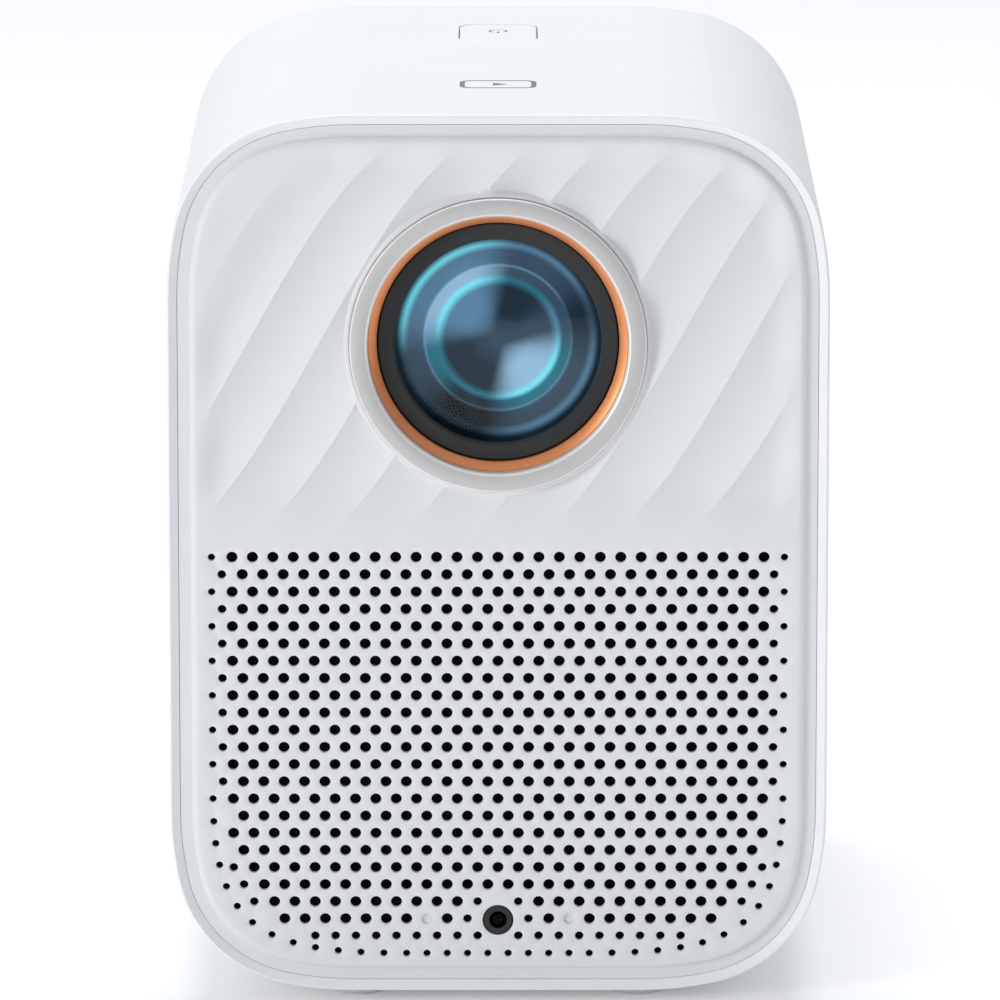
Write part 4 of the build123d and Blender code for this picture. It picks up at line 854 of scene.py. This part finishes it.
def painted_reflection_material():
    """Painted reflection rings and painted shade in the coating's colour; they glow a little in place of
    untraced reflections.
    """
    material = bpy.data.materials.new("lens_coating_painted_reflections")
    material.use_nodes = True
    tree = material.node_tree
    shader = tree.nodes["Principled BSDF"]
    coords = add_node(tree, "ShaderNodeTexCoord")
    centred = add_node(tree, "ShaderNodeMapping", {
        "Vector": coords.outputs["Object"], "Location": (0, 0, -lens_axis.z)})
    flat = add_node(tree, "ShaderNodeVectorMath", {
        0: centred.outputs["Vector"], 1: (1 / (GLASS_R * MM), 0, 1 / (GLASS_R * MM)),
    }, operation="MULTIPLY")
    radius = add_node(tree, "ShaderNodeVectorMath", {0: flat.outputs["Vector"]}, operation="LENGTH")
    softer = add_node(tree, "ShaderNodeMath", {0: radius.outputs["Value"], 1: 0.05}, operation="ADD")
    split = add_node(tree, "ShaderNodeSeparateXYZ", {"Vector": flat.outputs["Vector"]})
    side_x, side_z = [
        add_node(tree, "ShaderNodeMath", {
            0: split.outputs[axis], 1: softer.outputs["Value"]}, operation="DIVIDE").outputs["Value"]
        for axis in ("X", "Z")]
    sides = []
    for stops in PAINTED_REFLECTION_SIDES:
        ramp = add_node(tree, "ShaderNodeValToRGB", {"Fac": radius.outputs["Value"]})
        fill_ramp(ramp, stops)
        sides.append(ramp.outputs["Color"])
    colour = sides[0]
    for side, (angle, low, high) in zip(sides[1:], PAINTED_REFLECTION_FANS):
        fan = lobe(tree, side_x, side_z, angle, low, high)
        blend = add_node(tree, "ShaderNodeMixRGB", {"Fac": fan, "Color1": colour, "Color2": side})
        colour = blend.outputs["Color"]
    tree.links.new(colour, shader.inputs["Base Color"])
    # painted reflections: the ramp colour is both the base colour and a faint glow
    tree.links.new(colour, shader.inputs["Emission Color"])
    shader.inputs["Emission Strength"].default_value = 0.42
    shader.inputs["Roughness"].default_value = 0.5
    shader.inputs["Specular IOR Level"].default_value = 0.0
    return material


INK, NAVY, SLATE, STEEL_BLUE = "#0f171c", "#1e2e3a", "#3c5060", "#6488a0"
ICE, TEAL, CYAN = "#a0c4d8", "#2c7484", "#88f0fa"


def side_stops(centre, field, ring, between, line, outer, glow, rim):
    """One side's painted reflection on the group: two bright rings and a thin line between plain fields.
    """
    return ((0.0, centre), (5.0, field), (9.0, field), (10.2, ring), (11.0, between),
            (12.2, between), (12.5, line), (12.9, outer), (15.2, outer), (16.2, glow), (17.2, rim))


# the first ramp is painted shade, the others are painted reflections
PAINTED_REFLECTION_SIDES = (
    side_stops(SLATE, NAVY, TEAL, NAVY, SLATE, INK, NAVY, INK),
    side_stops(SLATE, NAVY, TEAL, TEAL, STEEL_BLUE, SLATE, SLATE, NAVY),
    side_stops(SLATE, SLATE, STEEL_BLUE, SLATE, SLATE, NAVY, SLATE, NAVY),
    side_stops(SLATE, NAVY, TEAL, SLATE, STEEL_BLUE, SLATE, STEEL_BLUE, NAVY),
    side_stops(SLATE, ICE, CYAN, TEAL, STEEL_BLUE, SLATE, STEEL_BLUE, NAVY),
    side_stops(SLATE, STEEL_BLUE, CYAN, ICE, ICE, STEEL_BLUE, CYAN, SLATE),
)
# where each painted reflection lies round the lens axis
PAINTED_REFLECTION_FANS = (
    (180.0, 0.5, 0.95), (15.0, 0.5, 0.95), (75.0, 0.5, 0.9), (-45.0, 0.5, 0.9), (135.0, 0.5, 0.9))
# the coated group's colour is painted reflection and painted shade, with a faint glow
bowl.material_slots[0].material = painted_reflection_material()
print("coating drawn")

# %% [markdown]
# ## Screws
# Eight cross-recessed screws hold the back cover and the tray. Each is a chamfered pan head with
# a tapering cross pressed into it. Their places are the loose heads of the frame's own screws.

# %% A cross-recessed screw
HEAD_R, HEAD_EDGE, HEAD_HIGH, SHANK_R, RECESS = 2.2, 0.25, 1.1, 1.2, 0.85
CROSS_HALF, CROSS_REACH, CROSS_FLOOR = 0.32, 1.2, 0.55


def cross_outline(share):
    """The twelve corners of the recess, drawn in towards its floor."""
    wide, far = CROSS_HALF * share, CROSS_REACH * share
    quarter = [(far, -wide), (far, wide), (wide, wide)]
    turns = ((1, 0), (0, 1), (-1, 0), (0, -1))
    return [(u * cos - v * sin, u * sin + v * cos) for cos, sin in turns for u, v in quarter]


def screw_parts(length):
    """Faces of one screw as (across, up, height); its head's top is at height nought."""
    drawing = Drawing()
    drawing.line(circle(0, 0, HEAD_R - HEAD_EDGE, 32), closed=True)
    drawing.line(cross_outline(1.0), "open_cross", closed=True)
    flat, _, triangles = drawing.triangles()
    top = [(u, v, 0.0) for u, v in flat]
    walls_of_cross = [(u, v, 0.0) for u, v in cross_outline(1.0)]
    walls_of_cross += [(u, v, -RECESS) for u, v in cross_outline(CROSS_FLOOR)]
    cross_faces = [(i, (i + 1) % 12, 12 + (i + 1) % 12, 12 + i) for i in range(12)]
    cross_faces.append(tuple(range(12, 24)))
    profile = [(HEAD_R - HEAD_EDGE, 0.0), (HEAD_R, -HEAD_EDGE), (HEAD_R, -HEAD_HIGH),
               (SHANK_R, -HEAD_HIGH), (SHANK_R, 0.8 - length), (0.4, -length), (0.0, -length)]
    sides = [(u, v, height) for radius, height in profile
             for u, v in circle(0, 0, radius, 32)]
    side_faces = [(row * 32 + i, row * 32 + (i + 1) % 32, (row + 1) * 32 + (i + 1) % 32,
                   (row + 1) * 32 + i) for row in range(len(profile) - 1) for i in range(32)]
    return [(top, triangles), (walls_of_cross, cross_faces), (sides, side_faces)]


def head_places(points, across, up, along, sign):
    """The centre and length of each screw whose head looks along that axis, one in each quarter."""
    level = max(sign * points[:, along])
    near = points[sign * points[:, along] > level - 1.0]
    middle = (near.max(axis=0) + near.min(axis=0)) / 2
    places = []
    for side_u, side_v in ((1, 1), (-1, 1), (-1, -1), (1, -1)):
        mine = near[((near[:, across] - middle[across]) * side_u > 0)
                    & ((near[:, up] - middle[up]) * side_v > 0)]
        u, v = [(mine[:, axis].max() + mine[:, axis].min()) / 2 for axis in (across, up)]
        shank = points[np.hypot(points[:, across] - u, points[:, up] - v) < HEAD_R + 0.1]
        places.append((u, v, sign * level, level - min(sign * shank[:, along])))
    return places


# %% All eight screws
screws = nodes["case_screws"]
screw_points = np.array([(screws.matrix_world @ vertex.co) / MM for vertex in screws.data.vertices])
screw_faces = []
for u, v, level, length in head_places(screw_points, 0, 2, 1, 1):
    for part, faces in screw_parts(length):
        screw_faces.append(([(u + a, level + h, v + b) for a, b, h in part], faces))
for u, v, level, length in head_places(screw_points, 0, 1, 2, -1):
    for part, faces in screw_parts(length):
        screw_faces.append(([(u + a, v + b, level - h) for a, b, h in part], faces))
cross_screws = mesh_piece("cross_recessed_screws", screw_faces, "steel", "housing", 30)
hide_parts("case_screws")
print("screws", len(cross_screws.data.polygons), "faces")
